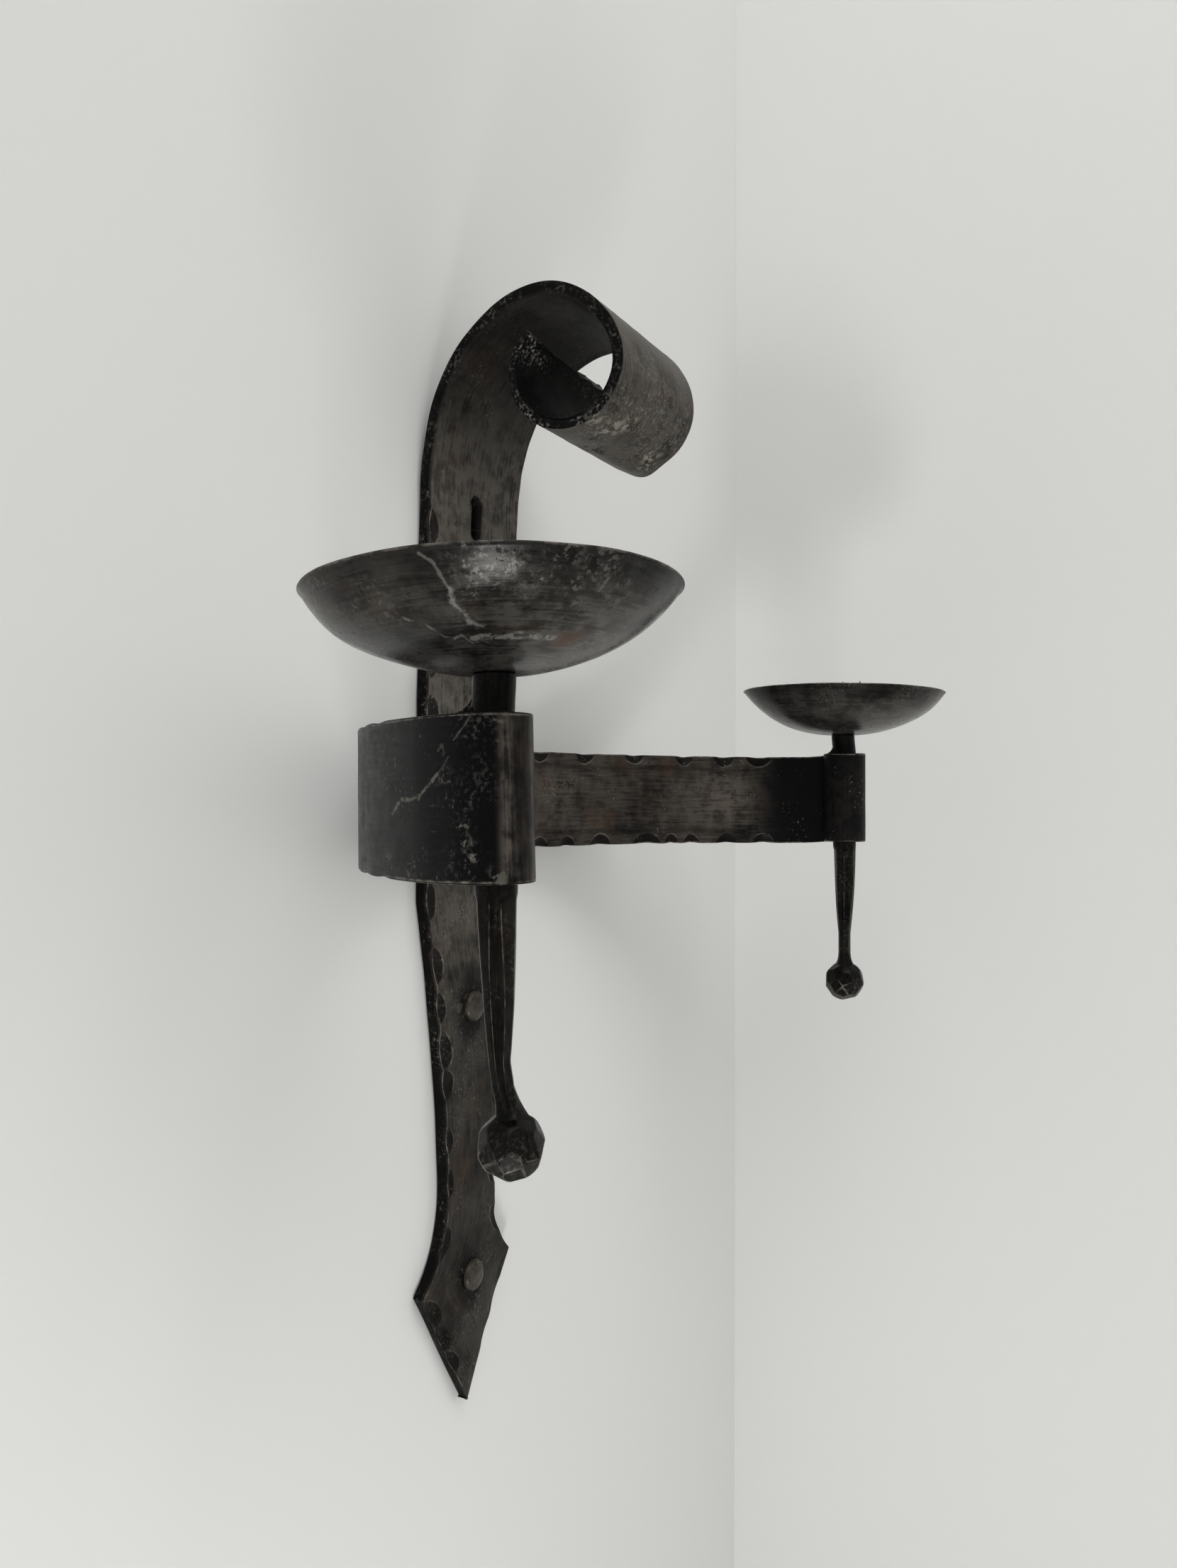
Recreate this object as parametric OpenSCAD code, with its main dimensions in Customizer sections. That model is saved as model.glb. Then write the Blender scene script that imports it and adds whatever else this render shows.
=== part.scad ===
// Forged iron wall sconce: a flat back bar that curls over into a scroll, one bowed arm whose ends are
// rolled round two upright torches, and a drip pan with a candle claw on each torch.
// X is to the right, the front faces -Y, Z is up. The origin is on the wall, behind the arm's middle.

/* [Back bar] */
// Width of the flat bar above its taper
bar_w = 60; // [50:0.5:68]
// Thickness of the flat bar
bar_t = 6; // [4.5:0.25:8]
// Height above the arm's middle at which the bar leaves the wall
bar_rise = 80; // [60:1:95]
// Depth below the arm's middle at which the taper starts
taper_drop = 39; // [32:1:60]
// Width of the neck above the arrow foot
neck_w = 32; // [24:0.5:40]
// Depth of the neck below the arm's middle
neck_drop = 154; // [135:1:170]
// Width across the arrow foot's two corners
foot_w = 59.5; // [50:0.5:70]
// Depth of the arrow foot's corners below the arm's middle
foot_drop = 187; // [178:0.5:200]
// Depth of the arrow foot's point below the arm's middle
tip_drop = 237.5; // [220:1:255]

/* [Scroll] */
// Radius of the first gentle lean away from the wall, on the bar's back
lean_r = 355; // [280:5:420]
// Angle that the lean turns through
lean_turn = 11.5; // [8:0.5:14]
// Radius of the crown
crown_r = 43.5; // [38:0.5:50]
// Angle that the crown turns through
crown_turn = 127; // [115:1:132]
// Radius of the falling curl
curl_r = 23.5; // [20:0.5:27]
// Angle that the falling curl turns through
curl_turn = 230; // [200:1:240]
// Radius of the tail inside the curl
tail_r = 14.5; // [12:0.5:20]
// Angle that the tail turns through
tail_turn = 46; // [30:1:60]
// Thickness to which the bar is drawn out at the tail's end
tail_t = 3.3; // [2.5:0.1:5]

/* [Hanging slot] */
// Width of the slot that hangs on a screw or hook
slot_w = 8; // [6:0.25:11]
// Length of the slot, end to end
slot_len = 18; // [13:0.5:20]
// Height of the slot's middle above the arm's middle
slot_rise = 112; // [108:0.5:117]

/* [Rivets] */
// Diameter of a rivet's shank
rivet_d = 6; // [4:0.25:8]
// Diameter of a rivet's head
rivet_head_d = 12; // [10:0.25:14]
// Height of a rivet's head
rivet_head_h = 3.2; // [2:0.1:4.5]
// Diameter of the countersunk closed end at the wall
rivet_tail_d = 9; // [8.5:0.25:11]
// Depth of the countersink
rivet_tail_h = 1.5; // [1:0.1:2.5]
// Depth of the stem's rivet below the arm's middle
stem_rivet_drop = 82; // [70:1:100]
// Depth of the foot's rivet below the arm's middle
foot_rivet_drop = 188; // [182:1:196]
// Distance between the two rivets that hold the arm
arm_rivet_pitch = 22; // [16:1:26]
// Play round a rivet's shank
rivet_gap = 0.05; // [0.02:0.01:0.15]

/* [Arm] */
// Height of the flat bar that the arm is bent from
arm_h = 41; // [34:0.5:46]
// Thickness of the arm
arm_t = 4.2; // [3.2:0.1:5.5]
// Length of the arm's straight seat on the back bar
arm_seat = 28; // [20:1:40]
// Outer radius of the arm's long bow
bow_r = 154; // [140:1:170]
// Angle that the long bow turns through on each side
bow_turn = 64; // [58:0.5:70]
// Outer radius of the tighter bend before the eye
bend_r = 47; // [38:1:56]
// Gap left where the rolled end meets the arm
eye_seam = 0.4; // [0.2:0.1:1]

/* [Torches] */
// Diameter of the torch rod
rod_d = 10.5; // [8:0.25:13]
// Play between the rod and the rolled eye
rod_gap = 0.15; // [0.1:0.05:0.4]
// Length of round rod that shows below the arm
rod_below = 1.5; // [0.5:0.5:5]
// Diameter of the forged stem across its corners where it is thickest
stem_d = 10.4; // [8:0.1:12]
// Diameter of the forged stem at its neck
stem_neck_d = 5.7; // [4.5:0.1:7]
// Depth of the stem's neck below the arm's middle
stem_neck_drop = 61.5; // [55:0.5:66]
// Depth below the arm's middle at which the stem flares into its ball
flare_drop = 71; // [68:0.5:74]
// Diameter of the hammered ball
ball_d = 17; // [14:0.25:19]
// Depth of the ball's middle below the arm's middle
ball_drop = 84; // [81:0.5:90]
// Distance by which the left ball was bent to the front
left_ball_drift = 4; // [0:0.25:5]
// Length by which the left stem came out shorter than the right one
left_stem_short = 2.75; // [0:0.25:3]

/* [Drip pans] */
// Diameter of a drip pan
pan_d = 92; // [80:0.5:104]
// Depth of a drip pan, outside
pan_depth = 20.4; // [16:0.2:26]
// Thickness of the pan's sheet
pan_t = 2; // [1.5:0.1:3]
// Height of the pan's rim above the arm's middle
rim_rise = 50.4; // [46:0.1:56]
// Diameter of the flat that is hammered under the pan for the rod
pan_flat_d = 16; // [14:0.5:20]
// Diameter of the tenon that passes up through the pan
tenon_d = 6; // [4:0.25:7]
// Play round the tenon
tenon_gap = 0.1; // [0.05:0.05:0.3]
// Diameter of the tenon's closed head
peen_d = 9.5; // [9:0.25:11]
// Height of the tenon's closed head
peen_h = 2.2; // [1.5:0.1:3]

/* [Candle claws] */
// Diameter of the claw's plate
claw_d = 25; // [22:0.5:30]
// Thickness of the claw's plate
claw_t = 2; // [1.5:0.1:3]
// Diameter of the circle that the thorns stand on
thorn_circle = 17.6; // [16:0.2:19]
// Diameter of a thorn
thorn_d = 3; // [2:0.1:3.4]
// Height of the shorter thorns' points above the pan's rim
thorn_proud = 4.6; // [2:0.1:10]
// Extra length of the front thorn
thorn_extra = 1.1; // [0:0.1:2]
// Length of a thorn's sharpened point
thorn_point = 5; // [3:0.25:8]
// Diameter of the tenon with which a thorn stands in the plate
thorn_tenon_d = 2; // [1.2:0.1:2.4]
// Play round a thorn's tenon in the plate
thorn_gap = 0.05; // [0.02:0.01:0.1]

/* [Welds] */
// Length of each leg of the weld between rod and eye
weld_leg = 4; // [2.5:0.25:4]
// Angle that the weld runs round the back of the rod
weld_turn = 110; // [80:5:140]
// Play between the weld and the rod
weld_gap = 0.05; // [0.02:0.01:0.1]

/* [Hidden] */
$fn = 96;
LEFT = -1;
RIGHT = 1;
THORNS = 3;
// Angle of the first thorn, counted from the right hand seen from above
THORN_START = 76;
STEM_SIDES = 8;
// Angle between the levels of the ball's facets
BALL_TURN = 24;
// Turn of a bent bar that one short straight of its outline covers
SCROLL_TURN = 5;
ARM_TURN = 3;
EYE_TURN = 6;
// Depth to which the rolled eye is reamed round inside
EYE_REAM = 0.05;
// Radius of a rivet head's flattened top, as a share of the head's own radius
HEAD_FLATNESS = 1.8;
// Share of the ball's drift that the stem already has at its flare
FLARE_DRIFT = 0.25;
// Number of straights in one side of the bar's taper
TAPER_STEPS = 14;
// How far the taper's two ends hold on to their widths
TAPER_EASE_TOP = 2;
TAPER_EASE_LOW = 45;
// Extra length of a cutter past the face that it leaves
CUT = 1;

// Colours of the blackened iron
BAR_IRON = [0.24, 0.22, 0.20];
ARM_IRON = [0.18, 0.17, 0.16];
ROD_IRON = [0.11, 0.11, 0.12];
PAN_IRON = [0.25, 0.24, 0.22];
RIVET_IRON = [0.30, 0.28, 0.26];

// The neck flares to the foot's corners on an arc that leaves the neck upright
neck_side = (foot_w - neck_w) / 2;
neck_fall = foot_drop - neck_drop;
neck_r = (neck_side * neck_side + neck_fall * neck_fall) / (2 * neck_side);

// Seen from above, the bow is followed by the bend, which ends heading straight to the front
eye_r = rod_d / 2 + rod_gap;
eye_out = eye_r + arm_t;
bend_x = arm_seat / 2 + (bow_r - bend_r) * sin(bow_turn);
bend_y = -bar_t - bow_r + (bow_r - bend_r) * cos(bow_turn);
torch_x = bend_x + bend_r - eye_out;
torch_y = bend_y;
// The rolled end stops where its outer corner would meet the arm's inner face, less the seam
inner_bend_r = bend_r - arm_t - eye_seam;
eye_to_bend = torch_x - bend_x;
eye_close = acos((inner_bend_r * inner_bend_r - eye_to_bend * eye_to_bend - eye_out * eye_out)
                 / (2 * eye_to_bend * eye_out));

// A bent bar's outer side is a chain of tangent arcs, each with its radius, its turn and its outline's step
scroll_arcs = [[lean_r, lean_turn, SCROLL_TURN], [crown_r, crown_turn, SCROLL_TURN],
               [curl_r, curl_turn, SCROLL_TURN], [tail_r, tail_turn, SCROLL_TURN]];
arm_arcs = [[bow_r, bow_turn, ARM_TURN], [bend_r, 90 - bow_turn, ARM_TURN],
            [eye_out, 360 - eye_close, EYE_TURN]];

// The pan is a spherical dish, flattened below for the rod and inside for the claw's plate
pan_r = pan_d / 2;
dish_r = (pan_r * pan_r + pan_depth * pan_depth) / (2 * pan_depth);
dish_z = rim_rise - pan_depth + dish_r;
dish_in_r = dish_r - pan_t;
pan_base_z = dish_z - sqrt(dish_r * dish_r - pan_flat_d * pan_flat_d / 4);
floor_z = dish_z - sqrt(dish_in_r * dish_in_r - claw_d * claw_d / 4);
claw_top_z = floor_z + claw_t;

// Heading, run and place at the start of arc i. Places are [distance from the wall, distance along it]
function heading(arcs, i) = i == 0 ? 0 : heading(arcs, i - 1) + arcs[i - 1][1];
function run(arcs, i) = i == 0 ? 0 : run(arcs, i - 1) + arcs[i - 1][0] * arcs[i - 1][1];
function arc_move(r, h, a) = r * [cos(h) - cos(h + a), sin(h + a) - sin(h)];
function place(arcs, from, i) = i == 0 ? from
    : place(arcs, from, i - 1) + arc_move(arcs[i - 1][0], heading(arcs, i - 1), arcs[i - 1][1]);

// A point a degrees into arc i, set in from the outer side by a share of the thickness at that place
function bent_point(arcs, from, i, a, inset, t0, t1) =
    let (h = heading(arcs, i) + a,
         share = (run(arcs, i) + arcs[i][0] * a) / run(arcs, len(arcs)))
    place(arcs, from, i) + arc_move(arcs[i][0], heading(arcs, i), a)
        + inset * (t0 + (t1 - t0) * share) * [cos(h), -sin(h)];

// One side of a bent bar whose thickness changes evenly from t0 to t1
function bent_side(arcs, from, inset, t0, t1) = [
    for (i = [0 : len(arcs) - 1])
        let (turn = arcs[i][1], steps = ceil(turn / arcs[i][2]))
        for (k = [(i == 0 ? 0 : 1) : steps]) bent_point(arcs, from, i, turn * k / steps, inset, t0, t1)];

function scroll_side(inset) = bent_side(scroll_arcs, [0, bar_rise], inset, bar_t, tail_t);
function arm_side(inset) = [
    for (p = bent_side(arm_arcs, [bar_t, arm_seat / 2], inset, arm_t, arm_t)) [p[1], -p[0]]];

function reversed(list) = [for (i = [len(list) - 1 : -1 : 0]) list[i]];
function mirrored(list) = [for (p = reversed(list)) [-p[0], p[1]]];
function bezier(p, t) = pow(1 - t, 3) * p[0] + 3 * t * pow(1 - t, 2) * p[1]
    + 3 * t * t * (1 - t) * p[2] + t * t * t * p[3];

// Right-hand edge of the straight bar from its top down to the arrow's point
taper_curve = [[bar_w / 2, -taper_drop], [bar_w / 2, -taper_drop - TAPER_EASE_TOP],
               [neck_w / 2, -neck_drop + TAPER_EASE_LOW], [neck_w / 2, -neck_drop]];
bar_edge = concat(
    [[bar_w / 2, bar_rise]],
    [for (k = [0 : TAPER_STEPS]) bezier(taper_curve, k / TAPER_STEPS)],
    [[foot_w / 2, -foot_drop]]);

module mirror_if(side) {
    if (side == LEFT) mirror([1, 0, 0]) children();
    else children();
}

// Lays a flat outline upright, facing the front, with its back on the wall
module against_wall(depth) {
    rotate([90, 0, 0]) linear_extrude(depth) children();
}

module rivet_hole(z, depth) {
    against_wall(depth + CUT) translate([0, z]) circle(d = rivet_d + 2 * rivet_gap);
    translate([0, CUT, z]) rotate([90, 0, 0]) cylinder(h = CUT, d = rivet_tail_d);
    translate([0, 0, z]) rotate([90, 0, 0])
        cylinder(h = rivet_tail_h, d1 = rivet_tail_d, d2 = rivet_d + 2 * rivet_gap);
}

// A rivet through a stack of the given thickness, closed flush at the wall
module rivet(z, stack) {
    top_r = rivet_head_d * HEAD_FLATNESS / 2;
    translate([0, 0, z]) rotate([90, 0, 0]) {
        cylinder(h = rivet_tail_h - rivet_gap, d1 = rivet_tail_d - 2 * rivet_gap, d2 = rivet_d);
        cylinder(h = stack, d = rivet_d);
        translate([0, 0, stack]) intersection() {
            cylinder(h = rivet_head_h, d = rivet_head_d);
            translate([0, 0, rivet_head_h - top_r]) sphere(r = top_r);
        }
    }
}

module back_bar() {
    color(BAR_IRON) difference() {
        union() {
            against_wall(bar_t) difference() {
                polygon(concat(bar_edge, [[0, -tip_drop]], mirrored(bar_edge)));
                for (side = [LEFT, RIGHT])
                    translate([side * (neck_w / 2 + neck_r), -neck_drop]) circle(r = neck_r, $fn = 180);
            }
            rotate([90, 0, -90]) linear_extrude(bar_w, center = true)
                polygon(concat(scroll_side(0), reversed(scroll_side(1))));
        }
        // The slot is cut straight to the front through the start of the lean
        translate([0, CUT, 0]) against_wall(2 * bar_t + CUT) translate([0, slot_rise])
            hull() for (end = [-1, 1]) translate([0, end * (slot_len - slot_w) / 2]) circle(d = slot_w);
        rivet_hole(-stem_rivet_drop, bar_t);
        rivet_hole(-foot_rivet_drop, bar_t);
        for (end = [-1, 1]) rivet_hole(end * arm_rivet_pitch / 2, bar_t);
    }
}

module bar_rivets() {
    color(RIVET_IRON) {
        rivet(-stem_rivet_drop, bar_t);
        rivet(-foot_rivet_drop, bar_t);
    }
}

module arm() {
    color(ARM_IRON) difference() {
        translate([0, 0, -arm_h / 2]) linear_extrude(arm_h)
            polygon(concat(mirrored(arm_side(0)), arm_side(0),
                           reversed(arm_side(1)), reversed(mirrored(arm_side(1)))));
        for (side = [LEFT, RIGHT]) translate([side * torch_x, torch_y, -arm_h / 2 - CUT])
            cylinder(h = arm_h + 2 * CUT, r = eye_r + EYE_REAM);
        for (end = [-1, 1]) against_wall(bar_t + arm_t + CUT) translate([0, end * arm_rivet_pitch / 2])
            circle(d = rivet_d + 2 * rivet_gap);
    }
}

module arm_rivets() {
    color(RIVET_IRON) for (end = [-1, 1]) rivet(end * arm_rivet_pitch / 2, bar_t + arm_t);
}

// Levels of the forged stem, each with its height, radius, drift to the front and turn of its corners.
// The stem narrows faster and faster to its neck, and the ball swells out of the flare in facets.
function stem_levels(drift, short) =
    let (top = arm_h / 2 + rod_below, ball_r = ball_d / 2)
    concat(
        [for (t = [0 : 0.2 : 1])
            [-top - (stem_neck_drop - top) * t,
             (stem_d + (stem_neck_d - stem_d) * t * t) / 2, 0, 0]],
        [[short - flare_drop, stem_neck_d / 2, drift * FLARE_DRIFT, 0]],
        [for (row = [-2 : 3])
            let (lift = -BALL_TURN * row)
            [short - ball_drop + ball_r * sin(lift), ball_r * cos(lift), drift, row % 2 == 0 ? 0 : 0.5]]);

module faceted_stem(levels) {
    n = STEM_SIDES;
    last = len(levels) - 1;
    corners = [for (level = levels) for (k = [0 : n - 1])
        let (a = 360 * (k + level[3]) / n) [level[1] * cos(a), level[1] * sin(a) - level[2], level[0]]];
    // A facet's diagonal runs between the corners that lie closest, so that turned levels make diamonds
    sides = [for (i = [0 : last - 1]) for (k = [0 : n - 1])
        let (a = i * n + k, b = i * n + (k + 1) % n)
        for (tri = levels[i + 1][3] < levels[i][3] ? [[a, b, b + n], [a, b + n, a + n]]
                                                   : [[a, b, a + n], [b, b + n, a + n]]) tri];
    polyhedron(points = corners,
               faces = concat([[for (k = [n - 1 : -1 : 0]) k]], sides,
                              [[for (k = [0 : n - 1]) last * n + k]]));
}

// A round rod through the eye, with a tenon closed over the claw's plate and a hammered ball end
module torch(side, drift, short) {
    low = -arm_h / 2 - rod_below - CUT;
    peen_r = (peen_d * peen_d / 4 + peen_h * peen_h) / (2 * peen_h);
    color(ROD_IRON) translate([side * torch_x, torch_y, 0]) {
        translate([0, 0, low]) cylinder(h = pan_base_z - low, d = rod_d);
        translate([0, 0, low]) cylinder(h = claw_top_z - low, d = tenon_d);
        translate([0, 0, claw_top_z]) intersection() {
            cylinder(h = peen_h, d = peen_d);
            translate([0, 0, peen_h - peen_r]) sphere(r = peen_r);
        }
        faceted_stem(stem_levels(drift, short));
    }
}

module left_torch() {
    torch(LEFT, left_ball_drift, left_stem_short);
}

module right_torch() {
    torch(RIGHT, 0, 0);
}

module drip_pan(side) {
    color(PAN_IRON) translate([side * torch_x, torch_y, 0]) difference() {
        union() {
            difference() {
                intersection() {
                    translate([0, 0, dish_z]) sphere(r = dish_r);
                    translate([0, 0, pan_base_z]) cylinder(h = rim_rise - pan_base_z, d = pan_d + 2 * CUT);
                }
                translate([0, 0, dish_z]) sphere(r = dish_in_r);
            }
            translate([0, 0, pan_base_z]) cylinder(h = floor_z - pan_base_z, d = pan_flat_d);
            // The floor fills the dish up to the ring on which the claw's plate rests
            intersection() {
                translate([0, 0, dish_z]) sphere(r = dish_r - pan_t / 2);
                translate([0, 0, pan_base_z]) cylinder(h = floor_z - pan_base_z, d = claw_d);
            }
        }
        cylinder(h = rim_rise, d = tenon_d + 2 * tenon_gap);
    }
}

module left_drip_pan() {
    drip_pan(LEFT);
}

module right_drip_pan() {
    drip_pan(RIGHT);
}

module at_thorn(k) {
    rotate([0, 0, THORN_START + 360 * k / THORNS]) translate([thorn_circle / 2, 0, 0]) children();
}

module claw_plate(side) {
    color(ROD_IRON) translate([side * torch_x, torch_y, floor_z]) mirror_if(side) difference() {
        cylinder(h = claw_t, d = claw_d);
        translate([0, 0, -CUT]) cylinder(h = claw_t + 2 * CUT, d = tenon_d + 2 * tenon_gap);
        for (k = [0 : THORNS - 1]) at_thorn(k)
            translate([0, 0, -CUT]) cylinder(h = claw_t + 2 * CUT, d = thorn_tenon_d + 2 * thorn_gap);
    }
}

module left_claw_plate() {
    claw_plate(LEFT);
}

module right_claw_plate() {
    claw_plate(RIGHT);
}

// Three sharpened thorns stand on the plate, each with a tenon down to the pan's floor
module thorns(side) {
    shank = rim_rise + thorn_proud - claw_top_z - thorn_point;
    color(ROD_IRON) translate([side * torch_x, torch_y, claw_top_z]) mirror_if(side)
        for (k = [0 : THORNS - 1]) at_thorn(k) {
            length = shank + (k == THORNS - 1 ? thorn_extra : 0);
            translate([0, 0, -claw_t]) cylinder(h = claw_t, d = thorn_tenon_d);
            cylinder(h = length, d = thorn_d);
            translate([0, 0, length]) cylinder(h = thorn_point, d1 = thorn_d, d2 = 0);
        }
}

module left_thorns() {
    thorns(LEFT);
}

module right_thorns() {
    thorns(RIGHT);
}

// A fillet weld between the back of the rod and the top of the rolled eye
module eye_weld(side) {
    inner = rod_d / 2 + weld_gap;
    color(ROD_IRON) translate([side * torch_x, torch_y, arm_h / 2]) rotate([0, 0, 90 - weld_turn / 2])
        rotate_extrude(angle = weld_turn)
            polygon([[inner, 0], [inner + weld_leg, 0], [inner, weld_leg]]);
}

module left_weld() {
    eye_weld(LEFT);
}

module right_weld() {
    eye_weld(RIGHT);
}

back_bar();
bar_rivets();
arm();
arm_rivets();
left_torch();
right_torch();
left_drip_pan();
right_drip_pan();
left_claw_plate();
right_claw_plate();
left_thorns();
right_thorns();
left_weld();
right_weld();
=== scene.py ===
"""Dresses the forged wall sconce: hammered bar with its scroll, bowed arm, torches, drip pans, claws and rivets."""

import math

import bmesh
import bpy
import numpy as np
from mathutils import Matrix, Vector
from mathutils.kdtree import KDTree


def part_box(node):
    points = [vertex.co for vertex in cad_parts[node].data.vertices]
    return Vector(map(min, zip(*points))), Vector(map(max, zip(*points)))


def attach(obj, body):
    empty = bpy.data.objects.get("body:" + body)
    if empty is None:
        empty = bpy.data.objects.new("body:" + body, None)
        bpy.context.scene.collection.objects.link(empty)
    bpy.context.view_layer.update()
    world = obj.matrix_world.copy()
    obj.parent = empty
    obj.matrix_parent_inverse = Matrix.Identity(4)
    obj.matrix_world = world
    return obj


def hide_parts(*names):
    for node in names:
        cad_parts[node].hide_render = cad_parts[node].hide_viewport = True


bl_info = {
    "name": "Forged candle sconce",
    "version": (1, 0, 0),
    "blender": (4, 5, 0),
    "location": "3D View > Sidebar > Sconce",
    "description": "Builds the forged iron pieces of a two-armed candle sconce around its packed frame",
    "category": "Add Mesh",
}

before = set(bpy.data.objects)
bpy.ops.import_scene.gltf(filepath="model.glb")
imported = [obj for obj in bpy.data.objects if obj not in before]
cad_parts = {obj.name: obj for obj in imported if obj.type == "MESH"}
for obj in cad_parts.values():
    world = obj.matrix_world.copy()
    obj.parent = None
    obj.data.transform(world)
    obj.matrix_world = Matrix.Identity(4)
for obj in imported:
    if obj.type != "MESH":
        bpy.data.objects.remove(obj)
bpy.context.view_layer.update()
MM = 0.001

# Heights and places that the frame gives, in millimetres
ARM_LOW, ARM_HIGH = (corner.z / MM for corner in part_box("arm"))
TORCH_X = sum(corner.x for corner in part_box("right_torch")) / 2 / MM
TORCH_Y = sum(corner.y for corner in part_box("right_torch")) / 2 / MM
BAR_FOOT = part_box("back_bar")[0].z / MM
PAN_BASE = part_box("right_drip_pan")[0].z / MM
PAN_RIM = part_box("right_drip_pan")[1].z / MM
PAN_FLOOR, CLAW_TOP = (corner.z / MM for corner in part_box("right_claw_plate"))
THORN_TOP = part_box("right_thorns")[1].z / MM
PEEN_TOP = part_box("right_torch")[1].z / MM

LEFT, RIGHT = -1, 1
SIDES = ((LEFT, "left"), (RIGHT, "right"))
WORDS = dict(SIDES)
FULL_TURN = 2 * math.pi

# The side wall's place, the heights of the floor and the walls' top, and the gap behind the bar, in metres
CORNER, FLOOR, CEILING, WALL_GAP = 0.300, -1.5, 3, 0.0006

# The camera's place and its forward, right and up directions, as they were fitted to the photograph
CAMERA_PLACE = Vector((-0.3741, -0.2628, 0.0011))
CAMERA_TURN, CAMERA_PITCH, CAMERA_ROLL = 61.273, 0.6556, 0.1785
CAMERA_LENS = 26.04


def camera_axes():
    """Right, up and forward directions of the camera."""
    turn, pitch, roll = (math.radians(a) for a in (CAMERA_TURN, CAMERA_PITCH, CAMERA_ROLL))
    forward = Vector((math.sin(turn) * math.cos(pitch), math.cos(turn) * math.cos(pitch), math.sin(pitch)))
    right = Vector((math.cos(turn), -math.sin(turn), 0))
    up = right.cross(forward)
    return (right * math.cos(roll) + up * math.sin(roll),
            up * math.cos(roll) - right * math.sin(roll), forward)


# ---------------------------------------------------------------- shape helpers

# Columns of points that round one long corner of a flat bar
CORNER_COLUMNS = 4


def smooth(t):
    t = np.clip(t, 0, 1)
    return t * t * (3 - 2 * t)


def ripple(x, y, size, seed, waves=16):
    """Repeatable unevenness between about -1 and 1, with bumps about `size` across."""
    draw = np.random.default_rng(seed)
    total = np.zeros(np.broadcast(x, y).shape)
    for _ in range(waves):
        angle = draw.uniform(0, FULL_TURN)
        pitch = math.pi / size * draw.uniform(0.45, 1.15)
        total = total + np.sin(pitch * (x * math.cos(angle) + y * math.sin(angle)) + draw.uniform(0, FULL_TURN))
    return total / math.sqrt(waves * 1.6)


def hammer(across, along, blows):
    """Depth of dished hammer marks, how near each point lies to one, and where a mark's outline can show.

    Each blow is its place across and along, its half sizes, and its depth. Nearness is 2 in a mark's middle,
    1 on its outline and 0 far away, and an outline shows on the side that faces away from the bar's edge.
    """
    depth = np.zeros(np.broadcast(across, along).shape)
    near, rim = np.zeros_like(depth), np.zeros_like(depth)
    for at_across, at_along, half_across, half_along, deep in blows:
        ratio = np.hypot((across - at_across) / half_across, (along - at_along) / half_along)
        depth = np.maximum(depth, deep * np.clip(1 - ratio ** 2, 0, 1))
        inward = np.clip(1.9 * np.abs(across - at_across) / half_across - 0.45, 0, 1)
        rim = np.where(2 - ratio > near, inward, rim)
        near = np.maximum(near, 2 - ratio)
    return depth, near, rim


def loft(name, rings, grain, marks=None, wrap=False, sharp=40):
    """Mesh piece through closed rings[row, column] in millimetres.

    grain[row, column + 1] is (across, along) in millimetres and becomes the piece's UV map, and each mark
    is a value per point that becomes an attribute. The ends are closed unless the rows wrap.
    """
    rows, columns = rings.shape[:2]
    mesh = bpy.data.meshes.new(name)
    points = rings.reshape(-1, 3) * MM
    row = np.arange(rows if wrap else rows - 1)
    column = np.arange(columns)
    i, j = (part.ravel() for part in np.meshgrid(row, column, indexing="ij"))
    i2, j2 = (i + 1) % rows, (j + 1) % columns
    quads = np.stack([i * columns + j, i * columns + j2, i2 * columns + j2, i2 * columns + j], 1)
    faces = quads.tolist()
    corner_rows = np.stack([i, i, i + 1, i + 1], 1)
    corner_columns = np.stack([j, j + 1, j + 1, j], 1)
    uv = grain[corner_rows % grain.shape[0], corner_columns].reshape(-1, 2)
    if not wrap:
        caps = [list(range(columns))[::-1], [(rows - 1) * columns + k for k in range(columns)]]
        faces += caps
        uv = np.concatenate([uv, rings[0][::-1, :2], rings[-1][:, :2]])
    mesh.from_pydata(points.tolist(), [], faces)
    layer = mesh.uv_layers.new(name="grain")
    layer.data.foreach_set("uv", (uv * MM).astype(np.float32).ravel())
    for key, value in (marks or {}).items():
        attribute = mesh.attributes.new(key, "FLOAT", "POINT")
        attribute.data.foreach_set("value", np.broadcast_to(value, (rows, columns)).astype(np.float32).ravel())
    return finish_mesh(name, mesh, sharp)


def finish_mesh(name, mesh, sharp=40):
    """Object at the origin with outward faces, smooth but for edges sharper than `sharp` degrees."""
    mesh.update()
    shell = bmesh.new()
    shell.from_mesh(mesh)
    if shell.calc_volume(signed=True) < 0:
        bmesh.ops.reverse_faces(shell, faces=shell.faces)
    shell.to_mesh(mesh)
    shell.free()
    mesh.polygons.foreach_set("use_smooth", [True] * len(mesh.polygons))
    mesh.set_sharp_from_angle(angle=math.radians(sharp))
    piece = bpy.data.objects.new(name, mesh)
    bpy.context.scene.collection.objects.link(piece)
    return piece


def around(radius, theta, z):
    """Points at these distances, angles and heights round an upright axis."""
    return np.stack([radius * np.cos(theta), radius * np.sin(theta), z + 0 * radius], -1)


def grain_map(across, along, rows, columns):
    """Grain map of a loft, whose first column comes again at the end."""
    return np.stack([np.broadcast_to(part, (rows, columns + 1)) for part in (across, along)], -1)


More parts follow.
